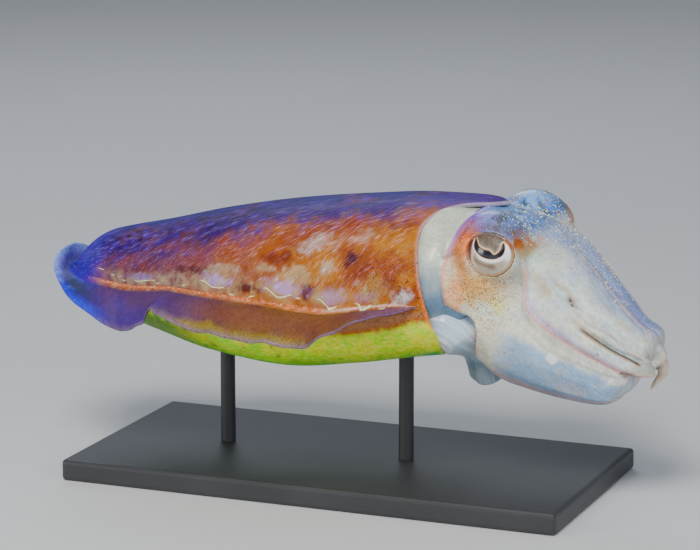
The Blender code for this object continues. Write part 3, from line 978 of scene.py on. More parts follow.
            rows = np.arange(len(run))[:, None]
            faces.append(sheet[rows, low] * (1 - part) + sheet[rows, low + 1] * part)
        join = np.linspace(0, 1, self.fillet_points + 2)[1:-1]
        joins = []
        for sign, edge, face in ((1, edges[0], faces[0]), (-1, edges[1], faces[1])):
            corner = root + up * (sign * (half[:, 0] + 0.0004))[:, None]
            curve = [edge * (1 - t) ** 2 + corner * (2 * t * (1 - t)) + face[:, 0] * t * t for t in join]
            joins.append(np.stack(curve, axis=1))
        rise = self.cord_rise * ease(0.004, 0.012, width) * (1 - 0.5 * ease(-0.005, 0.012, root[:, 0]))
        rise *= 0.72 + 0.28 * np.sin(run * 310) * np.sin(run * 97) + 0.12 * np.sin(run * 1900)
        swell = np.sin(math.pi * join) ** 1.5
        joins[0] += (outward * 0.55 + up * 0.83)[:, None] * (rise[:, None] * swell)[..., None]
        edge_half = half[:, -1:]
        tip = line[:, -1:] + (steps[:, -1:] / np.maximum(step[:, -1:, None], 1e-9)) * edge_half[..., None]
        flap = np.concatenate([joins[0], faces[0], tip, faces[1][:, ::-1], joins[1][:, ::-1]], axis=1)
        flap[..., 1] = np.maximum(flap[..., 1], 0) * side.value
        shares = np.concatenate([-swell, share[start:], [1.0], share[start:][::-1], 0 * join])
        return flap, np.broadcast_to(shares, flap.shape[:2])

    def section_angles(self, spread: Array, count: int) -> tuple[Array, Array, Array]:
        """Angles over the back, round each fin's root and under the belly, for every station."""
        back = np.linspace(-1, 1, self.back_points + 1) * (math.pi / 2 - spread[:, None])
        belly = math.pi + np.linspace(-1, 1, self.belly_points + 1) * (math.pi / 2 - spread[:, None])
        root = math.pi / 2 + np.linspace(-1, 1, count + 2)[1:-1] * spread[:, None]
        return back, root, belly

    def build(self) -> Piece:
        """Makes the skin with its fields for the finish.

        Returns:
            The object, to be painted.
        """
        run, root, outward = self.root_path()
        x_root = root[:, 0]
        reach = float(self.rim_x(np.array(math.pi / 2))) - self.rim_roll - self.tail_x
        along = (x_root - self.tail_x) / reach
        width = self.fin_at(x_root)[:, 0]
        height = np.linalg.norm(self.outline(x_root, 0 * x_root) - root, axis=1)
        spread = np.minimum((0.0008 + 0.0032 * np.minimum(1, width / 0.01)) / np.maximum(height, 0.004), 0.5)

        def place(angle: Array) -> Array:
            """Outer surface at each station's own share of the way to the rim."""
            x = self.tail_x + along[:, None] * (self.rim_x(angle) - self.rim_roll - self.tail_x)
            return self.outline(x, angle)

        quarter = np.full((len(run), 1), math.pi / 2)
        edges = np.stack([place(quarter - spread[:, None])[:, 0], place(quarter + spread[:, None])[:, 0]])
        present = ease(self.fin_front_x, self.fin_front_x - 0.006, x_root)[:, None, None]
        flaps, shares = {}, {}
        for side in Side:
            flaps[side], shares[side] = self.fin_flap(side, run, root, outward, edges)
        count = flaps[Side.LEFT].shape[1]
        back, side_angle, belly = self.section_angles(spread, count)
        angles = np.concatenate([back, side_angle, belly, -side_angle[:, ::-1]], axis=1)
        body = place(angles)
        start = back.shape[1]
        left = slice(start, start + count)
        right = slice(start + count + belly.shape[1], None)
        rings = body.copy()
        rings[:, left] = body[:, left] + (flaps[Side.LEFT] - body[:, left]) * present
        rings[:, right] = body[:, right] + (flaps[Side.RIGHT][:, ::-1] - body[:, right]) * present
        fin_share = np.zeros(angles.shape)
        fin_share[:, left] = shares[Side.LEFT]
        fin_share[:, right] = shares[Side.RIGHT][:, ::-1]
        fin_share *= present[..., 0]

        extra = []
        last = angles[-1]
        for turn in np.linspace(0, math.pi, 6)[1:]:
            x = self.rim_x(last) - self.rim_roll * (1 - math.sin(turn))
            extra.append(self.outline(x, last, self.rim_roll * (1 - math.cos(turn))))
        for inward in (0.25, 0.6, 1.0):
            edge = self.rim_x(last) - self.rim_roll
            extra.append(self.outline(edge + (self.recess_x - edge) * inward, last, 2 * self.rim_roll))
        points = np.concatenate([rings, np.stack(extra)])
        inside = np.concatenate([0 * run, [0, 0, 0.3, 0.7, 1], [1, 1, 1]])
        layers, width_points = points.shape[:2]
        faces = grid_faces(layers, width_points)
        centre = points[-1].mean(axis=0)
        last_row = (layers - 1) * width_points
        faces += [
            (last_row + k, last_row + (k + 1) % width_points, last_row + width_points)
            for k in range(width_points)
        ]
        flat = np.vstack([points.reshape(-1, 3), centre])
        piece = new_mesh("mantle_skin", flat, faces)
        every_angle = np.vstack([angles, np.broadcast_to(last, (len(extra), width_points))])
        turned = np.abs(np.degrees(np.arctan2(np.sin(every_angle), np.cos(every_angle))))
        share_rows = np.vstack([fin_share, np.zeros((len(extra), width_points))])
        hidden = np.broadcast_to(inside[:, None], turned.shape)
        fields = np.stack([turned, share_rows, hidden], axis=-1).reshape(-1, 3)
        set_field(piece, "lay", np.vstack([fields, [[90, 0, 1]]]))
        clean(piece)
        smooth_shading(piece)
        return piece

    def rim_gap(self, points: Array, degrees: Array) -> Array:
        """Distance of points behind the free rim."""
        return self.rim_at(degrees)[:, 0] - points[:, 0]

    def paint(self, piece: Piece) -> None:
        """Stores the tints and the fields for fine markings.

        Args:
            piece: What build gave.
        """
        points = points_of(piece)
        x = points[:, 0]
        degrees, share, hidden = field_of(piece, "lay").T
        ridge, fin = np.clip(-share, 0, 1), np.clip(share, 0, 1)
        wide, ragged, broad = cloud(points, 0.012, 1), cloud(points, 0.0032, 2), cloud(points, 0.035, 3)
        tint = self.sac_tint(x, degrees, wide, ragged, broad)
        on_fin = ease(0.02, 0.1, fin)
        under = ease(90.0, 90.4, degrees) * on_fin
        tint = blend(tint, self.fin_tint(x, fin, under, wide, ragged), on_fin)
        thin = np.interp(x, [-0.11, -0.07, -0.03, 0.0, 0.012, 0.03], [2.6, 1.7, 1.0, 1.2, 2.2, 3.0])
        cord = ridge**thin * ease(self.tail_x + 0.012, self.tail_x + 0.03, x)
        grainy = np.clip(0.5 + 0.9 * cloud(points, 0.0011, 9, 1), 0, 1)
        ridge_tint = layered(
            (0.4, 0.11, 0.045),
            ((0.8, 0.38, 0.26), grainy),
            ((0.78, 0.5, 0.44), ease(-0.002, 0.022, x)),
        )
        tint = blend(tint, ridge_tint, 1.15 * cord)
        tint = self.tail_tint(tint, x, points[:, 2] - self.axis, fin, ragged)
        gap = self.rim_gap(points, degrees)
        edge = bump(gap, 0.0002, 0.0009) * (hidden < 0.5) * (1 - on_fin)
        rim = layered(
            (0.52, 0.44, 0.56),
            ((0.62, 0.38, 0.34), ease(24, 44, degrees)),
            ((0.85, 0.3, 0.17), ease(66, 92, degrees)),
            ((0.75, 0.72, 0.2), ease(104, 116, degrees)),
        )
        tint = layered(
            tint,
            (rim, 0.85 * edge),
            ((0.42, 0.47, 0.46), ease(0.2, 0.8, hidden)),
        )

        arc = 0.78 * (92 - degrees)
        along = 1000 * x
        combed = along - (0.7 * arc + 0.00012 * np.clip(arc, 0, 80) ** 3) + 1.5 * wide
        fin_along = along + 6 * fin
        forwards = combed + (fin_along - combed) * on_fin
        flow = np.stack([forwards, arc + (20 * fin - arc) * on_fin, 0 * x], axis=-1)
        belly = self.belly_share(x, degrees, ragged) * (1 - on_fin)
        flow[:, 0] += (arc * 1.6 - flow[:, 0]) * belly
        flow[:, 1] += (along - flow[:, 1]) * belly
        flank = ease(86, 72, degrees) * (1 - on_fin)
        lines = flank * (0.42 + 0.3 * ease(65, 40, degrees) * ease(10, 22, degrees)) * ease(0.056, 0.036, x)
        # The fine lines are closer together on the pale patches
        for spot in self.spots:
            if min(spot.colour) > self.pale_from:
                lines = np.maximum(lines, 1.2 * flank * spot.weight(1000 * x, degrees, ragged))
        lines = np.clip(np.maximum(lines, 0.3 * flank), 0, 1) * ease(0.0015, 0.006, gap) + 0.35 * belly
        near_rim = ease(0.012, 0.034, x) * ease(48, 66, degrees) * ease(112, 100, degrees)
        specks = 0.2 + 0.75 * near_rim + 0.5 * on_fin * (1 - under) + 0.3 * cord
        specks *= 1 - 0.75 * belly
        dots = 0.14 * ease(30, 60, degrees) * (1 - belly) * (1 - on_fin) + 0.5 * cord
        weights = np.stack([lines, specks, dots], axis=-1) * (hidden < 0.5)[:, None]
        set_marks(piece, tint, flow, weights, self.threads(x, degrees, on_fin, belly))

    def sac_tint(self, x: Array, degrees: Array, wide: Array, ragged: Array, broad: Array) -> Array:
        """Colours of the sac: violet back, rust and orange flank, pale band and yellow-green belly.

        Args:
            x: Places along the body axis, in metres.
            degrees: Degrees from the top.
            wide: Noise with lumps about a centimetre wide.
            ragged: Noise with small lumps.
            broad: Noise with broad lumps.

        Returns:
            Colours, one row for each point.
        """
        forward = ease(-0.085, 0.02, x)
        flank = layered(
            (0.125, 0.044, 0.075),
            ((0.42, 0.16, 0.055), forward),
            ((0.25, 0.07, 0.04), ease(0.1, 0.9, 0.4 + wide) * (0.5 + 0.5 * forward)),
            ((0.5, 0.225, 0.06), ease(0.2, 1.0, 0.35 + broad) * forward),
            ((0.44, 0.29, 0.13), 0.6 * ease(0.1, 0.7, ragged) * ease(0.2, 0.8, 0.5 - wide) * forward),
        )
        # The back's violet is partly its own colour and partly painted blue light falling from above, bluest
        # along the top.
        back = layered(
            (0.052, 0.024, 0.145),
            ((0.02, 0.019, 0.18), ease(24, 4, degrees)),
            ((0.115, 0.05, 0.23), ease(0.02, 0.055, x) * (0.6 + 0.4 * wide)),
            ((0.085, 0.024, 0.055), ease(0.0, 0.7, wide + 0.3 * ragged)),
            ((0.012, 0.006, 0.045), 0.9 * ease(0.0, 0.5, 0.8 * ragged - 0.4 * broad)),
            ((0.14, 0.095, 0.5), 0.7 * ease(0.2, 0.7, 0.5 * wide - 0.8 * ragged)),
        )
        stations = [-0.13, -0.109, -0.065, -0.026, 0.012, 0.0315, 0.07]
        limit = np.interp(x, stations, [76, 60, 50, 40, 33, 31, 26])
        tint = blend(flank, back, ease(15, -15, degrees - limit + 12 * wide + 8 * ragged))
        rusty = bump(degrees - limit, 10, 10) * ease(-0.08, -0.02, x)
        tint = blend(tint, (0.27, 0.075, 0.05), 0.45 * rusty)
        band = bump(degrees, 81, 7) * ease(-0.128, -0.1, x) * ease(0.046, 0.026, x)
        tint = blend(tint, (0.4, 0.33, 0.2), band * (0.36 + 0.7 * ragged))
        for spot in self.spots:
            tint = blend(tint, spot.colour, spot.weight(1000 * x, degrees, ragged))
        lower = ease(90, 96, degrees)
        tint = blend(tint, (0.42, 0.215, 0.13), lower)
        warm_edge = bump(degrees - self.belly_edge(x), -2, 2.4) * ease(0.0, 0.02, x)
        tint = blend(tint, (0.5, 0.17, 0.08), 0.8 * lower * warm_edge)
        # The belly's yellow-green is partly its own iridescent colour and partly painted reflected light.
        belly = layered(
            (0.46, 0.93, 0.03),
            ((0.88, 0.93, 0.1), ease(0.0, 0.9, 0.4 + wide)),
            ((0.2, 0.8, 0.03), ease(128, 160, degrees + 14 * wide)),
            ((0.1, 0.26, 0.035), 0.7 * ease(0.35, 0.85, ragged + 0.3 * wide) * ease(0.02, -0.02, x)),
            ((0.92, 0.95, 0.22), 0.8 * ease(-0.02, 0.03, x) * ease(0.0, 0.6, 0.3 - ragged)),
            ((0.055, 0.14, 0.05), 0.8 * ease(-0.04, -0.085, x) * ease(108, 124, degrees + 8 * ragged)),
            ((0.06, 0.55, 0.3), ease(0.026, 0.05, x) * ease(138, 160, degrees)),
        )
        return blend(tint, belly, self.belly_share(x, degrees, ragged))

    def belly_edge(self, x: Array) -> Array:
        """Degrees from the top at which the belly's colours start."""
        stations = [-0.14, -0.04, 0.005, 0.016, 0.037, 0.0465, 0.057]
        return np.interp(x, stations, [95, 97, 104, 109, 108, 103, 101])

    def belly_share(self, x: Array, degrees: Array, ragged: Array) -> Array:
        """Where the belly's colours show."""
        return ease(-2, 3, degrees - self.belly_edge(x) + 2.5 * ragged)

    def fin_tint(self, x: Array, fin: Array, under: Array, wide: Array, ragged: Array) -> Array:
        """Colours of the fins, from the root to the edge.

        Args:
            x: Places along the body axis, in metres.
            fin: Share of the fin's width, 0 on the sac.
            under: 1 on the underside, else 0.
            wide: Noise with lumps about a centimetre wide.
            ragged: Noise with small lumps.

        Returns:
            Colours, one row for each point.
        """
        root = layered(
            (0.2, 0.105, 0.048),
            ((0.15, 0.07, 0.06), ease(0.0, 0.6, 0.3 + wide)),
            ((0.095, 0.05, 0.135), ease(-0.03, -0.068, x + 0.008 * wide)),
        )
        tint = blend(root, (0.175, 0.072, 0.05), 0.8 * bump(fin, 0.5, 0.25) * ease(-0.07, -0.03, x))
        low = ease(0.74, 0.92, fin + 0.1 * wide) * ease(-0.085, -0.05, x) * ease(0.012, -0.006, x)
        tint = layered(
            tint,
            ((0.3, 0.235, 0.055), 0.85 * low),
            ((0.08, 0.05, 0.21), ease(0.3, 0.75, fin + 0.25 * wide) * ease(-0.06, -0.085, x)),
            ((0.2, 0.14, 0.23), 0.75 * ease(0.9, 0.97, fin)),
            ((0.2, 0.11, 0.22), ease(0.02, 0.036, x) * (0.6 + 0.4 * wide)),
        )
        below = blend((0.25, 0.33, 0.07), (0.14, 0.1, 0.2), ease(0.5, 1, fin + 0.2 * ragged))
        return blend(tint, below, under)

    def tail_tint(self, tint: Array, x: Array, height: Array, fin: Array, ragged: Array) -> Array:
        """Blue flap at the tail end, dark and greenish below its middle, with a bright rim; flap and rim are
        painted lighter above and darker below, as light and shade.

        Args:
            tint: Colours so far.
            x: Places along the body axis, in metres.
            height: Height over the body axis, in metres.
            fin: Share of the fin's width, 0 on the sac.
            ragged: Noise with small lumps.

        Returns:
            Colours, one row for each point.
        """
        tail = ease(-0.108, -0.128, x + 0.003 * ragged)
        flap = tail * ease(0.0, 0.25, fin)
        # Painted light and shade: the flap's upper part is painted light blue and its lower middle dark.
        upper = ease(-0.012, -0.001, height + 0.003 * ragged)
        tint = layered(
            tint,
            ((0.052, 0.034, 0.26), 0.8 * tail),
            ((0.36, 0.34, 0.95), 0.9 * flap * upper),
            ((0.034, 0.052, 0.09), flap * bump(fin, 0.45, 0.34) * bump(height, -0.0115, 0.0085)),
        )
        # The rim is painted bright above and dark below, as light and shade.
        rim = blend((0.13, 0.15, 0.72), (0.38, 0.46, 0.97), upper)
        return layered(
            tint,
            (rim, ease(-0.1, -0.12, x) * ease(0.62, 0.95, fin + 0.06 * ragged)),
            ((0.09, 0.085, 0.72), 0.55 * tail * bump(fin, 0.12, 0.14)),
        )

    def threads(self, x: Array, degrees: Array, on_fin: Array, belly: Array) -> Array:
        """Offset from the pale threads in millimetres, how strongly they show, and extra gloss.

        Args:
            x: Places along the body axis, in metres.
            degrees: Degrees from the top.
            on_fin: 1 on the fins, else 0.
            belly: Share of the belly's colours.

        Returns:
            The three numbers, one row for each point.
        """
        places = sorted(place for mark in self.marks for place in mark)
        offset = 0.78 * (degrees - np.interp(x, *np.transpose(places)))
        show = 0 * x
        for mark in self.marks:
            ends = ease(-0.0008, 0.0004, x - mark[0][0]) * ease(0.0008, -0.0004, x - mark[-1][0])
            show = np.maximum(show, ends)
        return np.stack([offset, show * (1 - on_fin), 0.6 * on_fin + 0.3 * belly], axis=-1)


@dataclass
class HeadAxis:
    """Ovals from the neck through the head to the tips of the closed arms.

    The run is 0 at the crown, where the arms leave the head, and about 1 where most of them end.
    """

    axis: float
    roundness: float = 2.15
    keel_angle: float = 140
    keel_spread: float = 20
    keel_reach: float = 0.08
    # run, x and z of the middle, tilt, half width, height above, height below
    sections: tuple[Row, ...] = (
        (-1.5, 0.038, 0.004, 0, 0.0415, 0.034, 0.025),
        (-1.2, 0.052, 0.004, 3, 0.042, 0.0356, 0.0255),
        (-1.0, 0.0595, 0.004, 7, 0.0394, 0.035, 0.0268),
        (-0.6, 0.073, 0.001, 15, 0.0375, 0.0366, 0.031),
        (-0.3, 0.0832, -0.0034, 21, 0.0363, 0.038, 0.0342),
        (0.0, 0.0935, -0.0078, 26, 0.035, 0.0372, 0.0372),
        (0.25, 0.1078, -0.0163, 27, 0.0315, 0.0322, 0.0322),
        (0.5, 0.1208, -0.0236, 27, 0.0262, 0.0268, 0.0268),
        (0.75, 0.1325, -0.029, 26, 0.0205, 0.0218, 0.0218),
        (0.9, 0.1394, -0.0307, 26, 0.0174, 0.0201, 0.0188),
        (1.0, 0.1436, -0.032, 27, 0.0148, 0.0172, 0.0166),
        (1.2, 0.1524, -0.0347, 30, 0.01, 0.008, 0.0115),
        (1.36, 0.158, -0.0375, 35, 0.007, 0.005, 0.008),
    )
    section_at: Curve = field(init=False)

    def __post_init__(self) -> None:
        """Makes the curve through the sections."""
        self.section_at = monotone_curve(self.sections)

    def point(self, run: Array, angle: Array, share: Array) -> Array:
        """Places inside or on the head and arms.

        Args:
            run: Place along the axis.
            angle: Radians from the top, positive to the left.
            share: 0 on the axis and 1 on the surface.

        Returns:
            Places, with the last axis for x, y and z.
        """
        x, z, tilt, half_width, above, below = np.moveaxis(self.section_at(run), -1, 0)
        sideways, upward = oval(angle, half_width, above, below, self.roundness)
        keel = bump(np.abs(np.degrees(angle)), self.keel_angle, self.keel_spread)
        share = share * (1 + self.keel_reach * keel * np.clip(run / 0.8, 0, 1))
        return tilted(x, z + self.axis, tilt, share * sideways, share * upward)

    def locate(self, points: Array) -> tuple[Array, Array, Array]:
        """Run, degrees from the top and share of the surface for places near the axis.

        Args:
            points: Places, one row each.

        Returns:
            The three numbers for each point.
        """
        runs = np.linspace(self.sections[0][0], self.sections[-1][0], 160)
        x, z, tilt, half_width, above, below = self.section_at(runs).T
        lean = np.radians(tilt)
        ahead = (points[:, :1] - x) * np.cos(lean) - (points[:, 2:] - self.axis - z) * np.sin(lean)
        last = np.clip((ahead > 0).sum(axis=1) - 1, 0, len(runs) - 2)
        rows = np.arange(len(points))
        here, there = ahead[rows, last], ahead[rows, last + 1]
        part = np.clip(here / np.where(here - there == 0, 1, here - there), 0, 1)
        run = runs[last] + (runs[1] - runs[0]) * part
        x, z, tilt, half_width, above, below = self.section_at(run).T
        lean = np.radians(tilt)
        upward = (points[:, 0] - x) * np.sin(lean) + (points[:, 2] - self.axis - z) * np.cos(lean)
        reach = np.hypot(points[:, 1] / half_width, upward / np.where(upward > 0, above, below))
        return run, np.degrees(np.arctan2(np.abs(points[:, 1]), upward)), reach


@dataclass(frozen=True)
class Arm:
    """One arm of a pair, as a sector of the closed bundle."""

    number: int
    closing: float  # run at which the tip starts to narrow
    tip: float
    gaps: tuple[float, float]  # how far it stands off the arms above and below it near the tip


ARMS = (
    Arm(1, 0.88, 1.005, (0.0002, 0.0002)),
    Arm(2, 0.94, 1.07, (0.0002, 0.0005)),
    Arm(3, 0.96, 1.125, (0.0005, 0.0003)),
    Arm(4, 0.78, 0.935, (0.0004, 0.0003)),
)

# Edges of the arms from the top to the bottom of the bundle, each as run and degrees from the top
ARM_EDGES = (
    ((-0.3, 0), (1.4, 0)),
    ((-0.3, 50), (0.38, 58), (0.6, 52), (0.8, 57), (1.4, 58)),
    ((-0.3, 60), (0.4, 66), (0.75, 66), (0.95, 70), (1.4, 74)),
    (
        (-0.25, 50), (-0.11, 62), (-0.03, 74), (0.1, 81), (0.4, 84), (0.65, 86), (0.85, 90),
        (1.0, 91), (1.4, 88),
    ),
    ((-0.3, 180), (1.4, 180)),
)


@dataclass
class ArmShape:
    """Surfaces of the eight arms and the places of their suckers."""

    head: HeadAxis
    inner_start: float = 0.42
    inner_end: float = 0.22
    first_run: float = -0.25
    corner: float = 0.55
    ring: int = 28
    stations: int = 60
    edges: tuple[Curve, ...] = field(init=False)
    # Thin folds: run and degrees from the top, then the fold's half width and height
    folds: tuple[tuple[tuple[Row, ...], float, float], ...] = (
        (ARM_EDGES[3], 0.0014, 0.0004),
        (((0.0, 15), (0.25, 15), (0.55, 19), (0.75, 18), (0.86, 30), (0.92, 50)), 0.0006, 0.0003),
        (((0.35, 58), (0.6, 52), (0.8, 57), (0.96, 60)), 0.0005, 0.0003),
        (((0.05, 90), (0.28, 95), (0.6, 95), (0.85, 97)), 0.0005, 0.0002),
    )

    def __post_init__(self) -> None:
        """Makes the curves of the arms' edges."""
        self.edges = tuple(monotone_curve(rows) for rows in ARM_EDGES)

    def section_point(self, arm: Arm, run: Array, across: Array, outwards: Array) -> Array:
        """Places in the arm's section; across and outwards run from -1 to 1 about its middle.

        Args:
            arm: Which arm.
            run: Run along the head and arms.
            across: Share of the way to either side of the arm.
            outwards: Share of the way to its outer or inner face.

        Returns:
            Places, with the last axis for x, y and z.
        """
        first, last = (np.radians(edge(run)[..., 0]) for edge in self.edges[arm.number - 1 : arm.number + 1])
        beyond = np.clip((run - arm.closing) / (arm.tip - arm.closing), 0, 1)
        left_over = (1 - beyond**2) ** 0.5
        inner = self.inner_start + (self.inner_end - self.inner_start) * np.clip(run, 0, 1)
        share = (1 + inner) / 2 + (1 - inner) / 2 * outwards * left_over
        height = self.head.section_at(run)[..., 4]
        apart = (arm.gaps[0] * (1 - across) + arm.gaps[1] * (1 + across)) / 2 * ease(1.0, 0.9, run)
        gap = -0.0004 + (0.0004 + apart) * ease(0.1, 0.6, run)
        turn = gap / (np.maximum(share, 0.05) * height)
        angle = (first + last) / 2 + ((last - first) / 2 * left_over - turn) * across
        lip = 0.02 * bump(across, 0.85, 0.22) * ease(0.2, 0.5, outwards) * ease(-0.1, 0.3, run) * left_over
        return self.head.point(run, angle, share * (1 + lip))

    def build(self, arm: Arm, side: Side) -> Piece:
        """One arm as a closed shape whose root is sunk in the head.

        Args:
            arm: Which arm of the pair.
            side: Side of the animal.

        Returns:
            The closed shape.
        """
        share = 1 - (1 - np.linspace(0, 1, self.stations)[:-1]) ** 1.4
        run = (self.first_run + (arm.tip - self.first_run) * share)[:, None]
        turn = np.linspace(0, 2 * math.pi, self.ring, endpoint=False)[None, :]
        across = signed_power(np.cos(turn), self.corner) + 0 * run
        outwards = signed_power(np.sin(turn), self.corner) + 0 * run
        rings = self.section_point(arm, run + 0 * turn, across, outwards)
        tip = self.section_point(arm, np.array(arm.tip), np.array(0.0), np.array(0.0))
        mirror = (1, side.value, 1)
        return closed_loft(f"arm_{arm.number}_{side.word}", rings * mirror, tip * mirror)


def tube(name: str, path: Array, radii: Array, ring: int = 16) -> Piece:
    """Closed round tube along a path, with its own radius at each point.

    Args:
        name: Name of the piece.
        path: Places of the middle line.
        radii: Radius at each of them.
        ring: Points round the tube.

    Returns:
        The linked object.
    """
    along = np.gradient(path, axis=0)
    along /= np.linalg.norm(along, axis=1)[:, None]
    turn = np.linspace(0, 2 * math.pi, ring, endpoint=False)
    side = np.cross(along, (0.0, 1.0, 0.0))
    flat = np.linalg.norm(side, axis=1) < 1e-3
    side[flat] = np.cross(along[flat], (1.0, 0.0, 0.0))
    side /= np.linalg.norm(side, axis=1)[:, None]
    other = np.cross(along, side)
    rings = path[:, None] + radii[:, None, None] * (
        side[:, None] * np.cos(turn)[None, :, None] + other[:, None] * np.sin(turn)[None, :, None]
    )
    return closed_loft(name, rings)


def through(points: Sequence[Row], count: int) -> Array:
    """Smooth path of count points through a few places, evenly in their order."""
    rows = [(i / (len(points) - 1), *point) for i, point in enumerate(points)]
    return monotone_curve(rows)(np.linspace(0, 1, count))


@dataclass(frozen=True)
class EyePlace:
    """Where the eyes sit and how far their lids open."""

    centre: Row = (0.083, 0.032, 0.0235)  # of the left eye, from the body axis
    radius: float = 0.013
    gap: float = 0.0002  # between the eyeball and its socket
    lid_depth: float = 0.0012
    opening: Row = (0.0099, 0.0086)  # half length and half height
    opening_centre: Row = (-0.0006, 0.0004)  # forwards and upwards from the eye's centre
    cut: Row = (0.0106, 0.0093)  # of the skin, which the lids cover

    def place(self, side: Side, axis: float) -> Vector:
        """Centre of one eyeball."""
        return Vector((self.centre[0], side.value * self.centre[1], self.centre[2] + axis))


@dataclass
class HeadSkin:
    """Neck, head, orbits and eight arms as one closed skin."""

    head: HeadAxis
    arms: ArmShape
    first_voxel: float = 0.00068
    voxel: float = 0.00058
    most_triangles: int = 196000
    ring: int = 192
    tip_stations: int = 48
    curl_shift: float = 0.0045  # how far the left curled tip lies behind the right one
    lip_share: float = 0.045  # how far the head's free rear edge stands off the neck, as a share of it
    # degrees from the top, run of the head's free rear edge
    rear_edge: tuple[Row, ...] = (
        (0, -0.9), (60, -1.0), (74, -1.05), (88, -1.0), (98, -0.95), (104, -0.55), (115, -0.44),
        (180, -0.48),
    )
    # centre and radii of the swellings of one side: round the eye, behind it and in front of it
    swellings: tuple[tuple[Row, Row], ...] = (
        ((0.0795, 0.028, 0.022), (0.019, 0.015, 0.019)),
        ((0.075, 0.027, 0.012), (0.017, 0.0135, 0.019)),
        ((0.092, 0.021, 0.011), (0.019, 0.0135, 0.017)),
    )
    eye: EyePlace = field(default_factory=EyePlace)
    fold_tints: tuple[Colour, ...] = (
        (0.92, 0.5, 0.43), (0.6, 0.4, 0.32), (0.8, 0.6, 0.54), (0.66, 0.66, 0.56),
    )
    # Patches by hundredths of the run and degrees from the top
    spots: tuple[Spot, ...] = (
        Spot((-62, 84), (22, 11), (0.86, 0.56, 0.22), 0.75),
        Spot((-84, 90), (14, 15), (0.9, 0.4, 0.22), 0.7),
        Spot((-44, 91), (9, 5), (0.62, 0.88, 0.84), 0.6),
        Spot((-28, 84), (9, 7), (0.72, 0.84, 0.16), 0.4),
        Spot((-40, 112), (20, 8), (0.84, 0.78, 0.62), 0.6),
        Spot((-3, 56), (14, 3.4), (0.6, 0.42, 0.24), 0.45),
        Spot((14, 49), (14, 2.4), (0.52, 0.35, 0.2), 0.5),
        Spot((6, 61), (13, 3.4), (0.6, 0.4, 0.22), 0.4),
        Spot((22, 53), (7, 1.8), (0.26, 0.14, 0.09), 0.6),
        Spot((34, 63), (12, 2.4), (0.62, 0.46, 0.26), 0.5),
        Spot((62, 38), (22, 3.0), (0.66, 0.58, 0.4), 0.45),
        Spot((-18, 62), (8, 10), (0.34, 0.46, 0.44), 0.5),
        Spot((30, 102), (4.5, 4.8), (0.93, 0.95, 0.93), 1.0, crisp=True),
        Spot((84, 104), (15, 11), (0.9, 0.87, 0.8), 0.75),
        Spot((98, 118), (9, 16), (0.84, 0.76, 0.7), 0.6),
        Spot((50, 128), (14, 6), (0.6, 0.46, 0.4), 0.4),
        Spot((1, 118), (0.8, 1.2), (0.01, 0.008, 0.008), 0.95),
        Spot((5, 115.5), (0.9, 1.2), (0.01, 0.008, 0.008), 0.95),
        Spot((17, 79), (0.8, 1.2), (0.015, 0.01, 0.01), 0.9),
        Spot((21, 52), (1.0, 1.0), (0.02, 0.012, 0.012), 0.85),
        Spot((23.5, 54), (1.1, 1.0), (0.02, 0.012, 0.012), 0.85),
        Spot((58, 78), (1.4, 1.2), (0.05, 0.03, 0.025), 0.8),
        Spot((82, 94), (2.0, 1.6), (0.015, 0.012, 0.014), 0.9),
    )

    def core(self) -> Piece:
        """Head capsule from its free rear edge to a rounded end inside the arms.

        Returns:
            The closed shape.
        """
        angle = np.linspace(-math.pi, math.pi, self.ring, endpoint=False)
        edge = monotone_curve(self.rear_edge)(np.abs(np.degrees(angle)))[:, 0]
        along = np.concatenate([[0, 0.006, 0.014, 0.024, 0.036], np.linspace(0.055, 1, 46)])[:, None]
        runs = edge + (0.35 - edge) * along
        lip = np.concatenate([[0.955, 0.978, 0.99, 0.997, 1.0], np.ones(46)])[:, None]
        share = lip * (1 - 0.16 * ease(-0.15, 0.2, runs)) + self.lip_share * bump(along, 0.03, 0.03)
        return closed_loft("head_core", self.head.point(runs, angle + 0 * runs, share))

    def neck(self) -> Piece:
        """Neck from inside the mantle to inside the head.

        Returns:
            The closed shape.
        """
        angle = np.linspace(-math.pi, math.pi, self.ring, endpoint=False)
        runs = np.linspace(-1.42, -0.7, 24)[:, None] + 0 * angle
        shoulder = 0.05 * bump(np.degrees(np.abs(angle)), 22, 14)
        share = 0.99 - 0.03 * ease(-1.2, -1.0, runs) + shoulder
        return closed_loft("neck_core", self.head.point(runs, angle + 0 * runs, share))

    def ball(self, name: str, centre: Row, radii: Row, side: Side) -> Piece:
        """Ellipsoid with its poles on the y axis.

        Args:
            name: Name of the object.
            centre: Its place on the left side, measured from the body axis.
            radii: Half its size along x, y and z.
            side: Side of the animal.

        Returns:
            The closed shape.
        """
        bpy.ops.mesh.primitive_uv_sphere_add(segments=64, ring_count=32, radius=1)
        ball = bpy.context.active_object
        ball.name = name
        place = Vector((centre[0], side.value * centre[1], centre[2] + self.head.axis))
        ball.data.transform(Matrix.Rotation(math.pi / 2, 4, "X"))
        ball.data.transform(Matrix.Diagonal((*radii, 1)))
        ball.data.transform(Matrix.Translation(place))
        return ball

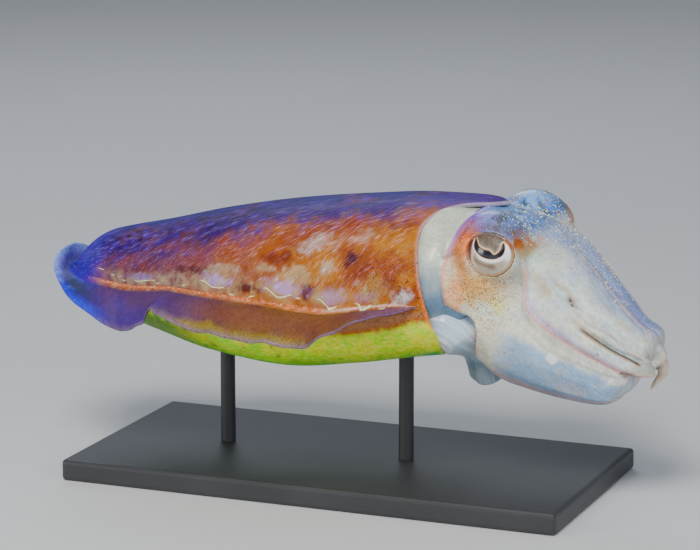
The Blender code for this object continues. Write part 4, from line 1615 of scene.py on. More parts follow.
    def tips(self) -> list[Piece]:
        """Curled ends of the second arms, the skin points behind the eyes and a left tip that hangs.

        Returns:
            The closed shapes.
        """
        pieces = []
        for side in Side:
            back = self.curl_shift if side is Side.LEFT else 0.0
            curl = (
                (0.142, 0.0045, -0.0222), (0.1466, 0.0042, -0.0206), (0.1494, 0.004, -0.0212),
                (0.1506, 0.004, -0.0234), (0.1498, 0.0041, -0.0259), (0.1472, 0.0043, -0.0273),
                (0.144, 0.0046, -0.0276),
            )
            pieces.append(self.tip(f"curl_{side.word}", side, curl, (0.0027, 0.0019), back))
            point = (
                (0.068, 0.036, 0.027), (0.064, 0.0372, 0.0245), (0.0605, 0.0372, 0.0215),
                (0.0578, 0.0366, 0.0203),
            )
            pieces.append(self.tip(f"point_{side.word}", side, point, (0.0026, 0.0005), 0))
        hook = (
            (0.14, 0.004, -0.0262), (0.1456, 0.0036, -0.0272), (0.1492, 0.0032, -0.0296),
            (0.1492, 0.003, -0.033), (0.1472, 0.003, -0.0362), (0.145, 0.003, -0.039),
            (0.1436, 0.003, -0.0418),
        )
        pieces.append(self.tip("hook", Side.LEFT, hook, (0.0034, 0.0008), 0))
        return pieces

    def tip(self, name: str, side: Side, places: Sequence[Row], radii: Row, back: float) -> Piece:
        """Tapered tube through places measured from the body axis."""
        path = (through(places, self.tip_stations) + (-back, 0, self.head.axis)) * (1, side.value, 1)
        share = np.linspace(0, 1, self.tip_stations) ** 1.2
        return tube(name, path, radii[0] + (radii[1] - radii[0]) * share)

    def open_lids(self, skin: Piece) -> None:
        """Cuts the eye openings and hollows out the places of the eyeballs.

        Args:
            skin: The skin, which is cut.
        """
        for side in Side:
            radius = self.eye.radius + self.eye.gap
            self.cut(skin, self.ball("socket", self.eye.centre, (radius, radius, radius), side))
            bpy.ops.mesh.primitive_cone_add(vertices=96, radius1=1, radius2=1.12, depth=1)
            cutter = bpy.context.active_object
            cutter.data.transform(Matrix.Translation((0, 0, 0.5)))
            cutter.data.transform(Matrix.Diagonal((self.eye.cut[0], self.eye.cut[1], 0.024, 1)))
            cutter.data.transform(Matrix.Rotation(math.pi / 2, 4, "X"))
            middle = Vector((self.eye.opening_centre[0], 0, self.eye.opening_centre[1]))
            cutter.data.transform(Matrix.Translation(middle))
            if side is Side.LEFT:
                cutter.data.transform(Matrix.Diagonal((1, -1, 1, 1)))
                cutter.data.flip_normals()
            cutter.data.transform(Matrix.Translation(self.eye.place(side, self.head.axis)))
            self.cut(skin, cutter)

    def cut(self, skin: Piece, tool: Piece) -> None:
        """Takes a closed shape away from the skin and removes that shape."""
        change_mesh(skin, "BOOLEAN", operation="DIFFERENCE", solver="MANIFOLD", object=tool)
        bpy.data.objects.remove(tool)

    def remesh(self, skin: Piece, voxel: float) -> None:
        """Makes one closed skin of all that overlaps, from cells of that size."""
        change_mesh(skin, "REMESH", mode="VOXEL", voxel_size=voxel)

    def thin(self, skin: Piece) -> None:
        """Merges the flattest faces of the painted skin and keeps its fields."""
        triangles = sum(len(face.vertices) - 2 for face in skin.data.polygons)
        change_mesh(skin, "DECIMATE", ratio=self.most_triangles / triangles)

    def beyond(self, points: Array, centre: Row) -> Array:
        """Offset of points from a place given for the left side, mirrored for points on the right."""
        x, y, z = centre
        forward, sideways, upward = points.T
        return np.stack([forward - x, np.abs(sideways) - y, upward - self.head.axis - z], axis=-1)

    def blend_cheeks(self, skin: Piece) -> None:
        """Smooths the swellings into the head below and in front of the eyes.

        Args:
            skin: The skin before the arms are joined on.
        """
        points = points_of(skin)
        outward = self.beyond(points, self.swellings[0][0])
        around = np.degrees(np.arctan2(outward[:, 2], outward[:, 0]))
        from_below = np.abs((around + 50 + 180) % 360 - 180)
        reach = np.linalg.norm(outward, axis=1)
        near = ease(100, 65, from_below) * ease(0.036, 0.028, reach) * ease(0.011, 0.015, reach)
        run = self.head.locate(points)[0]
        relax(skin, 160, 0.5 * near * ease(-1.0, -0.85, run))

    def soften_roots(self, skin: Piece) -> None:
        """Lets the arms grow out of the head without a step."""
        run = self.head.locate(points_of(skin))[0]
        relax(skin, 50, 0.5 * ease(0.5, 0.1, run) * ease(-0.4, -0.2, run))

    def raise_lines(self, skin: Piece) -> None:
        """Works the thin folds along the arms into the skin.

        Args:
            skin: The remeshed skin.
        """
        points = points_of(skin)
        run, degrees, _ = self.head.locate(points)
        height = np.interp(run, [-0.25, 0.0, 0.5, 1.0], [0.04, 0.036, 0.027, 0.016])
        rise = 0 * run
        for rows, width, lift in self.arms.folds:
            away = np.radians(degrees - monotone_curve(rows)(run)[:, 0]) * height
            start, end = rows[0][0], rows[-1][0]
            ends = ease(start - 0.04, start + 0.06, run) * ease(end + 0.03, end - 0.05, run)
            rise += lift * ends * (bump(away, 0, width) - 0.6 * bump(away, 1.7 * width, width))
        set_points(skin, points + normals_of(skin) * rise[:, None])

    def paint(self, piece: Piece) -> None:
        """Stores the tints and the fields for fine markings.

        Args:
            piece: What build gave.
        """
        points = points_of(piece)
        run, degrees, _ = self.head.locate(points)
        wide, ragged, broad = cloud(points, 0.012, 4), cloud(points, 0.0045, 5), cloud(points, 0.03, 6)
        tint = self.arm_tint(run, degrees, wide, ragged, broad)
        for spot in self.spots:
            tint = blend(tint, spot.colour, spot.weight(100 * run, degrees, ragged))
        height = np.interp(run, [-1.0, -0.25, 0.0, 0.5, 1.0], [0.034, 0.04, 0.036, 0.027, 0.016])
        ragged_line = 0.0002 * ragged
        for (rows, width, _), colour in zip(self.arms.folds, self.fold_tints):
            away = np.radians(degrees - monotone_curve(rows)(run)[:, 0]) * height + ragged_line
            start, end = rows[0][0], rows[-1][0]
            ends = ease(start - 0.06, start + 0.1, run) * ease(end + 0.04, end - 0.06, run)
            tint = blend(tint, colour, 0.85 * ends * bump(away, -0.0001, 1.1 * width))
            # Darker band beside each fold: painted shade in the groove that raise_lines works in beside it.
            tint = blend(tint, 0.62 * tint, 0.7 * ends * bump(away, 2.2 * width, width))
        # Along the slit between the second and third arms: a dark line of painted shade in the gap and an
        # orange painted highlight on its lower lip.
        slit = np.radians(degrees - self.arms.edges[2](run)[:, 0]) * height
        along_slit = ease(0.33, 0.4, run) * ease(0.98, 0.92, run)
        lilac = bump(degrees - self.arms.edges[3](run)[:, 0], -3.5, 3.5)
        lilac *= ease(-0.2, 0.0, run) * ease(0.95, 0.7, run)
        tint = layered(
            tint,
            ((0.66, 0.56, 0.84), 0.7 * lilac),
            ((0.72, 0.44, 0.27), 0.7 * along_slit * bump(slit, 0.0009, 0.0006)),
            ((0.035, 0.02, 0.012), along_slit * bump(slit, -0.0001, 0.0008)),
        )
        keel = bump(degrees, 146, 5 + 3 * ragged) * ease(-0.45, -0.2, run)
        tint = blend(tint, (0.8, 0.4, 0.33), 0.6 * keel)
        edge = np.interp(degrees, *np.transpose(self.rear_edge))
        ahead = (run - edge) * 0.034
        outward = ease(-0.1, 0.35, normals_of(piece)[:, 1] * np.sign(points[:, 1]))
        outward *= ease(0.014, 0.021, np.abs(points[:, 1]))
        tint = self.orbit_tint(tint, points, outward, wide, ragged)
        lip = layered(
            (0.92, 0.42, 0.32),
            ((0.3, 0.12, 0.8), ease(72, 50, degrees)),
            ((0.9, 0.55, 0.42), ease(100, 110, degrees)),
        )
        tint = blend(tint, lip, 0.85 * bump(ahead, 0.0007, 0.001))
        # The neck is pale; the blue-grey over its lower part is painted shade.
        neck = layered(
            (0.6, 0.64, 0.54),
            ((0.17, 0.27, 0.38), ease(62, 96, degrees + 8 * wide)),
            ((0.56, 0.58, 0.52), 0.6 * ease(0.1, 0.7, broad)),
        )
        on_neck = ease(0.0001, -0.0005, ahead) * ease(0.0, 0.0008, self.away_from_orbits(points))
        tint = blend(tint, neck, on_neck)

        arc = 1000 * np.radians(degrees) * height
        flow = np.stack([arc + 1.5 * wide, 58 * run, 0 * run], axis=-1)
        calm = 1 - 0.9 * on_neck
        cheek = bump(run, -0.55, 0.45) * bump(degrees, 80, 34)
        crest = ease(55, 20, degrees)
        lines = calm * (0.1 + 0.14 * ease(0.0, 0.5, run))
        specks = calm * np.clip(0.05 + 1.1 * cheek, 0, 1)
        crest_dots = 0.9 * crest * ease(0.9, 0.0, run + 0.01 * degrees)
        dots = calm * (0.36 + crest_dots + 0.3 * ease(95, 110, degrees))
        weights = np.stack([lines, specks, np.clip(dots, 0, 1)], axis=-1)
        thread = np.stack([0 * run + 9, 0 * run, 0.5 + 0.4 * on_neck], axis=-1)
        set_marks(piece, tint, flow, weights, thread)

    def arm_tint(self, run: Array, degrees: Array, wide: Array, ragged: Array, broad: Array) -> Array:
        """Ground colours of the head and arms, bluish on top and below and cream between; the blue on top is
        partly painted blue light from above.

        Args:
            run: Run along the head and arms.
            degrees: Degrees from the top.
            wide: Noise with lumps about a centimetre wide.
            ragged: Noise with small lumps.
            broad: Noise with broad lumps.

        Returns:
            Colours, one row for each point.
        """
        return layered(
            (0.86, 0.86, 0.7),
            ((0.68, 0.78, 0.76), ease(-0.1, 0.8, 0.3 + broad)),
            # bluish top: partly painted blue light from above
            ((0.36, 0.43, 0.66), ease(46, 14, degrees + 8 * wide)),
            ((0.21, 0.29, 0.5), ease(17, 10, degrees) * ease(0.1, 0.5, run)),
            ((0.42, 0.33, 0.66), 0.6 * bump(degrees, 0, 6) * ease(0.2, 0.5, run)),
            ((0.55, 0.57, 0.66), 0.45 * ease(0.1, 0.8, ragged) * ease(14, 30, degrees)),
            (
                (0.62, 0.55, 0.42),
                0.5 * ease(0.2, 0.9, -ragged) * ease(0.3, 0.9, run) * ease(14, 30, degrees),
            ),
            ((0.74, 0.66, 0.44), 0.6 * bump(degrees, 78, 22) * ease(0.1, -0.4, run)),
            ((0.38, 0.54, 0.74), ease(94, 104, degrees + 4 * wide) * ease(-0.25, 0.1, run)),
            ((0.72, 0.74, 0.64), bump(degrees, 90, 6) * ease(0.0, 0.3, run)),
            ((0.62, 0.52, 0.33), 0.4 * ease(0.1, 0.8, wide) * ease(20, 40, degrees)),
            ((0.46, 0.46, 0.4), 0.75 * ease(0.8, 0.97, run)),
            ((0.72, 0.6, 0.46), ease(1.03, 1.12, run)),
        )

    def away_from_orbits(self, points: Array) -> Array:
        """How far outside the rear swellings a point lies.

        Args:
            points: Places, one row each.

        Returns:
            Metres, below 0 inside them.
        """
        away = np.full(len(points), 1.0)
        for centre, radii in self.swellings[:2]:
            share = np.linalg.norm(self.beyond(points, centre) / radii, axis=1)
            away = np.minimum(away, (share - 1) * min(radii))
        return away

    def orbit_tint(self, tint: Array, points: Array, on_side: Array, wide: Array, ragged: Array) -> Array:
        """Colours round the eyes: blue over them, violet behind, orange and gold below.

        Args:
            tint: Colours so far.
            points: Places, one row each.
            on_side: 1 where the skin faces sideways, else 0.
            wide: Noise with lumps about a centimetre wide.
            ragged: Noise with small lumps.

        Returns:
            Colours, one row for each point.
        """
        forward = 1000 * (points[:, 0] - self.eye.centre[0])
        upward = 1000 * (points[:, 2] - self.head.axis - self.eye.centre[2])
        reach = np.hypot(forward, upward)
        around = np.degrees(np.arctan2(upward, forward))
        behind = (around + 360) % 360
        near = ease(24, 15, reach + 3 * wide)
        inner = (1 - on_side) * ease(0.006, 0.014, np.abs(points[:, 1])) * ease(0.2, 0.5, upward / 20)
        tint = blend(tint, (0.035, 0.05, 0.062), 0.9 * inner * bump(around, 30, 26) * bump(reach, 19, 5))
        over = near * ease(18, 50, around) * ease(178, 150, behind)
        # Over the eyes the skin is painted blue, partly as blue light falling from above, palest at the top
        # of each orbit.
        tint = layered(
            tint,
            ((0.15, 0.28, 0.66), over),
            ((0.06, 0.11, 0.14), over * ease(0.0, 0.5, ragged)),
            ((0.16, 0.105, 0.105), 0.8 * over * ease(0.15, 0.6, -ragged) * ease(120, 70, around)),
            ((0.38, 0.58, 0.95), 0.9 * over * bump(around, 95, 24) * ease(0.4, -0.3, ragged)),
            ((0.12, 0.1, 0.11), 0.85 * bump(around, 88, 40) * bump(reach, 12.0, 2.2) * on_side),
            ((0.1, 0.06, 0.7), 0.95 * bump(behind, 125, 30) * bump(reach, 19.5, 3.4) * on_side),
            ((0.42, 0.09, 0.52), 0.9 * bump(behind, 160, 22) * bump(reach, 19.0, 3.6) * on_side),
            ((0.055, 0.04, 0.03), 0.85 * bump(around, 44, 14) * bump(reach, 17, 3.8) * on_side),
        )
        front = bump(around, 27, 18) * bump(reach, 14.0, 4.4) * on_side
        tint = layered(
            tint,
            ((0.3, 0.095, 0.03), 1.3 * front * (0.9 + 0.6 * ragged)),
            ((0.76, 0.22, 0.07), bump(around, 19, 10) * bump(reach, 15.4, 2.6) * on_side),
            ((0.5, 0.74, 0.78), 0.55 * bump(around, -10, 14) * bump(reach, 17, 4) * on_side),
            ((0.4, 0.27, 0.07), 0.8 * bump(around, 4, 12) * bump(reach, 13.5, 2.6) * on_side),
        )
        rusty = bump(behind, 190, 60) * bump(reach, 16.5, 4.4) * on_side
        tint = layered(
            tint,
            ((0.52, 0.2, 0.05), 0.95 * rusty * (0.8 + 0.4 * ragged)),
            ((0.11, 0.1, 0.32), 0.75 * bump(behind, 120, 24) * bump(reach, 12.5, 3.2) * on_side),
            ((0.84, 0.23, 0.08), 1.2 * bump(behind, 162, 30) * bump(reach, 13.0, 3.6) * on_side),
            ((0.22, 0.07, 0.04), 0.7 * bump(behind, 150, 34) * bump(reach, 16.2, 0.6) * on_side),
        )
        below = bump(behind, 262, 46) * bump(reach, 13, 6.0) * on_side
        return blend(tint, (0.68, 0.36, 0.1), 0.8 * below * (0.7 + 0.6 * ragged))

    def build(self) -> Piece:
        """Joins the closed shapes, remeshes them to one skin and works its relief.

        Returns:
            The object, to be painted.
        """
        shapes = [self.core(), self.neck()]
        for side in Side:
            for i, (centre, radii) in enumerate(self.swellings):
                shapes.append(self.ball(f"swelling_{i}_{side.word}", centre, radii, side))
        for shape in shapes:
            clean(shape)
        skin = joined("head_skin", shapes)
        self.remesh(skin, self.first_voxel)
        relax(skin, 3)
        self.blend_cheeks(skin)
        added = [self.arms.build(arm, side) for side in Side for arm in ARMS] + self.tips()
        dome = self.eye.radius + self.eye.lid_depth
        added += [self.ball(f"dome_{side.word}", self.eye.centre, (dome, dome, dome), side) for side in Side]
        for shape in added:
            clean(shape)
        skin = joined("head_skin", [skin, *added])
        self.remesh(skin, self.first_voxel)
        relax(skin, 3)
        self.soften_roots(skin)
        self.open_lids(skin)
        self.remesh(skin, self.voxel)
        relax(skin, 3)
        self.raise_lines(skin)
        smooth_shading(skin)
        return skin


def scattered(name: str, shape: Piece, places: Array, normals: Array, sizes: Array) -> Piece:
    """Many copies of a small shape in one mesh, each stood on a surface.

    Args:
        name: Name of the new piece.
        shape: Small closed shape round the origin; it is removed.
        places: Where the copies stand.
        normals: Which way their z axis points.
        sizes: Scale of each copy.

    Returns:
        The new piece.
    """
    model = points_of(shape)
    corners = [tuple(face.vertices) for face in shape.data.polygons]
    faces = np.array([row + (-1,) * (4 - len(row)) for row in corners])
    bpy.data.objects.remove(shape)
    sideways = np.cross(normals, (0.31, 0.22, 0.93))
    sideways /= np.linalg.norm(sideways, axis=1)[:, None]
    axes = np.stack([sideways, np.cross(normals, sideways), normals], axis=1)
    points = places[:, None] + sizes[:, None, None] * np.einsum("pk,nkc->npc", model, axes)
    start = len(model) * np.arange(len(places))[:, None, None]
    numbered = np.where(faces < 0, -1, faces + start).reshape(-1, 4)
    rows = [tuple(int(i) for i in face if i >= 0) for face in numbered]
    return new_mesh(name, points.reshape(-1, 3), rows)


@dataclass
class Papillae:
    """Fine raised points on the top of the head, the orbits and the upper arms."""

    head: HeadAxis
    count: int = 980
    smallest: float = 0.00014
    largest: float = 0.00048
    seed: int = 11

    def build(self, skin: Piece) -> Piece:
        """Points scattered over the skin's crest, with the fields that its finish reads.

        Args:
            skin: The head's skin.

        Returns:
            The raised points in one mesh.
        """
        draw = np.random.default_rng(self.seed)
        points = points_of(skin)
        run, degrees, share = self.head.locate(points)
        chance = ease(52, 12, degrees) * ease(-0.75, -0.5, run)
        chance = chance * ease(1.0, -0.1, run) * ease(0.8, 0.95, share)
        chosen = draw.choice(len(points), self.count, replace=False, p=chance / chance.sum())
        sizes = self.smallest + (self.largest - self.smallest) * draw.random(self.count) ** 2.2
        bpy.ops.mesh.primitive_uv_sphere_add(segments=8, ring_count=5, radius=1)
        shape = bpy.context.active_object
        shape.data.transform(Matrix.Diagonal((1, 1, 1.5, 1)))
        piece = scattered("papillae", shape, points[chosen], normals_of(skin)[chosen], sizes)
        pale = np.repeat(draw.random(self.count), len(piece.data.vertices) // self.count)
        tint = blend((0.3, 0.4, 0.55), (0.8, 0.82, 0.66), 1.4 * pale)
        set_marks(piece, tint, (0, 0, 0), (0, 0, 0), (9, 0, 0.8))
        smooth_shading(piece)
        return piece


@dataclass
class Suckers:
    """Four rows of small suckers along the inner face of every arm."""

    arms: ArmShape
    along: int = 18
    rows: tuple[float, ...] = (-0.54, -0.18, 0.18, 0.54)
    first_run: float = 0.12
    root_radius: float = 0.00072
    tip_radius: float = 0.0003

    def build(self) -> Piece:
        """All suckers in one mesh, with the fields that their finish reads.

        Returns:
            The suckers in one mesh.
        """
        places, normals, sizes = [], [], []
        for side in Side:
            for arm in ARMS:
                steps = np.linspace(0, 1, self.along)
                for row, across in enumerate(self.rows):
                    shift = 0.5 * (row % 2) / self.along
                    run = self.first_run + (0.94 * arm.closing - self.first_run) * (steps + shift)
                    face = self.arms.section_point(arm, run, across + 0 * run, -1 + 0 * run)
                    inwards = face - self.arms.section_point(arm, run, across + 0 * run, -0.7 + 0 * run)
                    places.append(face * (1, side.value, 1))
                    normals.append(inwards * (1, side.value, 1))
                    sizes.append(self.root_radius + (self.tip_radius - self.root_radius) * steps)
        normals = np.vstack(normals)
        normals /= np.linalg.norm(normals, axis=1)[:, None]
        bpy.ops.mesh.primitive_torus_add(
            major_segments=10, minor_segments=6, major_radius=0.68, minor_radius=0.34, generate_uvs=False
        )
        shape = bpy.context.active_object
        piece = scattered("suckers", shape, np.vstack(places), normals, np.concatenate(sizes))
        set_marks(piece, np.array((0.66, 0.62, 0.5)), (0, 0, 0), (0, 0.2, 0), (9, 0, 0.6))
        smooth_shading(piece)
        return piece


def closed_path(corners: Sequence[Row], steps: int) -> Array:
    """Smooth closed outline through flat corners, with that many steps between two of them.

    Args:
        corners: Flat places, in order.
        steps: Points from one corner to the next.

    Returns:
        Places of the outline, one row each.
    """
    here = np.array(corners, dtype=float)
    before, after, beyond = np.roll(here, 1, axis=0), np.roll(here, -1, axis=0), np.roll(here, -2, axis=0)
    u = np.linspace(0, 1, steps, endpoint=False)[:, None, None]
    path = here + (after - before) * u / 2 + (before - 2.5 * here + 2 * after - beyond / 2) * u**2
    path = path + (1.5 * (here - after) + (beyond - before) / 2) * u**3
    return path.transpose(1, 0, 2).reshape(-1, 2)


def depth_inside(places: Array, outline: Array) -> Array:
    """Distance of flat places from a closed outline, above 0 inside it.

    Args:
        places: Flat places, one row each.
        outline: Places of the outline, in order.

    Returns:
        One distance for each place.
    """
    start, end = outline, np.roll(outline, -1, axis=0)
    along = end - start
    rise = places[:, None] - start
    share = np.clip((rise * along).sum(axis=-1) / (along**2).sum(axis=-1), 0, 1)
    away = np.linalg.norm(rise - share[..., None] * along, axis=-1).min(axis=1)
    above = (start[:, 1] > places[:, 1:]) != (end[:, 1] > places[:, 1:])
    climb = np.where(along[:, 1] == 0, 1, along[:, 1])
    crossing = start[:, 0] + (places[:, 1:] - start[:, 1]) * along[:, 0] / climb
    inside = (above & (places[:, :1] < crossing)).sum(axis=1) % 2 == 1
    return np.where(inside, away, -away)


@dataclass
class Eyeball:
    """Eyeball with its curved pupil, the brown hood over it and a pale rim below."""

    place: EyePlace
    axis: float
    segments: int = 192
    rings: int = 128
    hood_rise: float = 0.00035
    pupil_dip: float = 0.0003
    # outlines forwards and upwards from the eye's centre, in millimetres
    pupil: tuple[Row, ...] = (
        (-7.4, 6.9), (-7.9, 4.6), (-7.1, 2.4), (-4.4, 0.3), (-0.8, -0.8), (2.7, -0.9), (5.7, 0.5),
        (6.8, 3.1), (6.2, 5.8), (5.6, 5.4), (5.2, 3.2), (3.9, 1.6), (2.4, 1.0), (0.5, 2.6), (-2.1, 3.0),
        (-4.8, 4.1), (-6.2, 5.9),
    )
    hood: tuple[Row, ...] = (
        (-6.6, 6.6), (-6.0, 5.7), (-4.8, 4.1), (-2.1, 3.0), (0.5, 2.6), (2.4, 1.0), (3.9, 1.6),
        (5.2, 3.2), (5.7, 5.6), (6.6, 8.0), (3.0, 12.0), (-5.5, 12.0),
    )

    def build(self, side: Side) -> Piece:
        """One eyeball with the fields that its finish reads.

        Args:
            side: Side of the animal.

        Returns:
            The eyeball.
        """
        bpy.ops.mesh.primitive_uv_sphere_add(
            segments=self.segments, ring_count=self.rings, radius=self.place.radius
        )
        ball = bpy.context.active_object
        ball.name = ball.data.name = f"eyeball_{side.word}"
        ball.data.transform(Matrix.Rotation(math.pi / 2, 4, "X"))
        points = points_of(ball)
        flat = 1000 * points[:, (0, 2)]
        in_pupil = depth_inside(flat, closed_path(self.pupil, 10))
        in_hood = depth_inside(flat, closed_path(self.hood, 10))
        outside = ease(0, 0.3, points[:, 1] * side.value / self.place.radius)
        rise = self.hood_rise * ease(-0.1, 0.9, in_hood) - self.pupil_dip * ease(-0.1, 0.35, in_pupil)
        points *= (1 + (rise * outside / self.place.radius))[:, None]
        set_points(ball, points + np.array(self.place.place(side, self.axis)))
        set_field(ball, "eye", np.stack([in_pupil, in_hood, 0 * in_hood], axis=-1))
        set_field(ball, "tint", self.tint(flat, in_pupil))
        smooth_shading(ball)
        return ball

    def tint(self, flat: Array, in_pupil: Array) -> Array:
        """Colours of the eyeball: bright round the pupil, brownish and cream towards the lids.

        Args:
            flat: Millimetres forwards and upwards from the eye's centre, one row for each point.
            in_pupil: Depth inside the pupil's outline, in millimetres.

        Returns:
            Colours, one row for each point.
        """
        forward, upward = flat.T
        return layered(
            (0.46, 0.4, 0.3),
            ((0.66, 0.62, 0.5), ease(6.5, 9.0, np.hypot(*flat.T))),
            ((0.2, 0.125, 0.075), 0.85 * bump(in_pupil, -3.3, 1.2) * ease(4.5, 1.5, forward)),
            ((0.2, 0.1, 0.065), 0.6 * ease(1.9, 0.3, np.hypot((forward - 1.1) / 1.5, upward + 4.7))),
            ((0.97, 0.95, 0.92), ease(-2.0, -1.2, in_pupil) * ease(-6.5, -3, forward)),
            (
                (0.93, 0.94, 0.97),
                ease(5.0, 7.2, forward) * ease(-3.0, 0.5, upward) * ease(9.6, 8.6, forward),
            ),
            ((0.72, 0.58, 0.4), 0.8 * ease(-7.2, -8.2, forward)),
            # Dark blue at the rear edge: painted shade in the crease against the lid.
            ((0.035, 0.03, 0.1), 0.85 * ease(-8.9, -9.6, forward - 0.12 * upward)),
            ((0.2, 0.15, 0.1), ease(5.5, 7.5, upward) * ease(7.0, 5.0, forward)),
        )


@dataclass
class Lids:
    """Folded rim of skin round one eye."""

    place: EyePlace
    axis: float
    around: int = 200
    ring: int = 24
    # degrees round the opening from the front over the top, half width in millimetres
    widths: tuple[Row, ...] = (
        (-180, 1.9), (-150, 1.1), (-110, 0.6), (-60, 0.5), (-10, 0.6), (40, 0.8), (80, 0.6), (110, 0.9),
        (150, 2.3), (180, 1.9),
    )

    def build(self, side: Side) -> Piece:
        """One closed ring that overlaps the eyeball's edge and the skin.

        Args:
            side: Side of the animal.

        Returns:
            The ring.
        """
        turn = np.linspace(-math.pi, math.pi, self.around + 1)
        width = 0.001 * monotone_curve(self.widths)(np.degrees(turn))[:, 0]
        width *= 1 + 0.05 * np.sin(9 * turn + 1) + 0.04 * np.sin(17 * turn)
        length, height = self.place.opening
        outward = np.stack([np.cos(turn) / length, np.sin(turn) / height], axis=-1)
        outward /= np.linalg.norm(outward, axis=1)[:, None]
        flat = np.stack([length * np.cos(turn), height * np.sin(turn)], axis=-1)
        flat += np.array(self.place.opening_centre) + outward * width[:, None]
        reach = self.place.radius + 0.0001 + 0.35 * width
        depth = np.sqrt(reach**2 - (flat**2).sum(axis=1))
        centre = np.stack([flat[:, 0], depth, flat[:, 1]], axis=-1)
        normal = centre / reach[:, None]
        across = np.stack([outward[:, 0], -(flat * outward).sum(axis=1) / depth, outward[:, 1]], axis=-1)
        across /= np.linalg.norm(across, axis=1)[:, None]
        bend = np.linspace(0, 2 * math.pi, self.ring, endpoint=False)
        crease = 1 - 0.16 * bump(np.cos(bend), 0.35, 0.16) * (np.sin(bend) > 0)
        over = (np.cos(bend) * width[:, None])[..., None] * across[:, None]
        low = 1 - 0.55 * bump(np.degrees(turn), 85, 42)
        rise = (0.65 * width + 0.0003) * low
        up = (np.sin(bend) * crease * rise[:, None])[..., None] * normal[:, None]
        points = (centre[:, None] + over + up) * (1, side.value, 1)
        points = points + np.array(self.place.place(side, self.axis))
        piece = new_mesh(f"lids_{side.word}", points.reshape(-1, 3), grid_faces(self.around + 1, self.ring))
        lay = np.stack(np.broadcast_arrays(turn[:, None], np.cos(bend)[None, :], 0.0), axis=-1)
        set_field(piece, "lay", lay.reshape(-1, 3))
        clean(piece)
        self.paint(piece)
        smooth_shading(piece)
        return piece

    def paint(self, piece: Piece) -> None:
        """Stores the tints and the fields for fine markings.

        Args:
            piece: The ring.
        """
        turn, outer, _ = field_of(piece, "lay").T
        degrees = np.degrees(turn)
        points = points_of(piece)
        ragged = cloud(points, 0.003, 7)
        behind = (degrees + 360) % 360
        tint = layered(
            (0.46, 0.32, 0.17),
            ((0.46, 0.2, 0.055), ease(-0.2, 0.6, outer + 0.4 * ragged)),
            ((0.74, 0.22, 0.09), 0.95 * bump(behind, 158, 46)),
            ((0.55, 0.33, 0.22), 0.7 * bump(behind, 210, 22)),
            ((0.115, 0.085, 0.065), 1.5 * bump(degrees, 84, 32)),
            ((0.4, 0.12, 0.045), 0.9 * bump(degrees, 30, 18)),
            ((0.16, 0.07, 0.035), 0.8 * ease(-0.1, 0.3, outer) * bump(degrees, -70, 75)),
        )
        # Dark line painted as shade in the lid's crease and along its inner edge against the eyeball.
        crease = bump(outer, -0.35, 0.14) * bump(behind, 150, 40) + 0.8 * bump(outer, -0.85, 0.2)
        tint = layered(
            tint,
            ((0.055, 0.035, 0.09), 0.75 * crease * (0.8 + 0.4 * ragged)),
            ((0.92, 0.62, 0.36), 0.6 * bump(outer, 0.25, 0.12) * bump(behind, 150, 40)),
        )
        flow = np.stack([6 * outer, 10 * turn, 0 * turn], axis=-1)
        set_marks(piece, tint, flow, (0.15, 0.5, 0.1), (9, 0, 0.9))


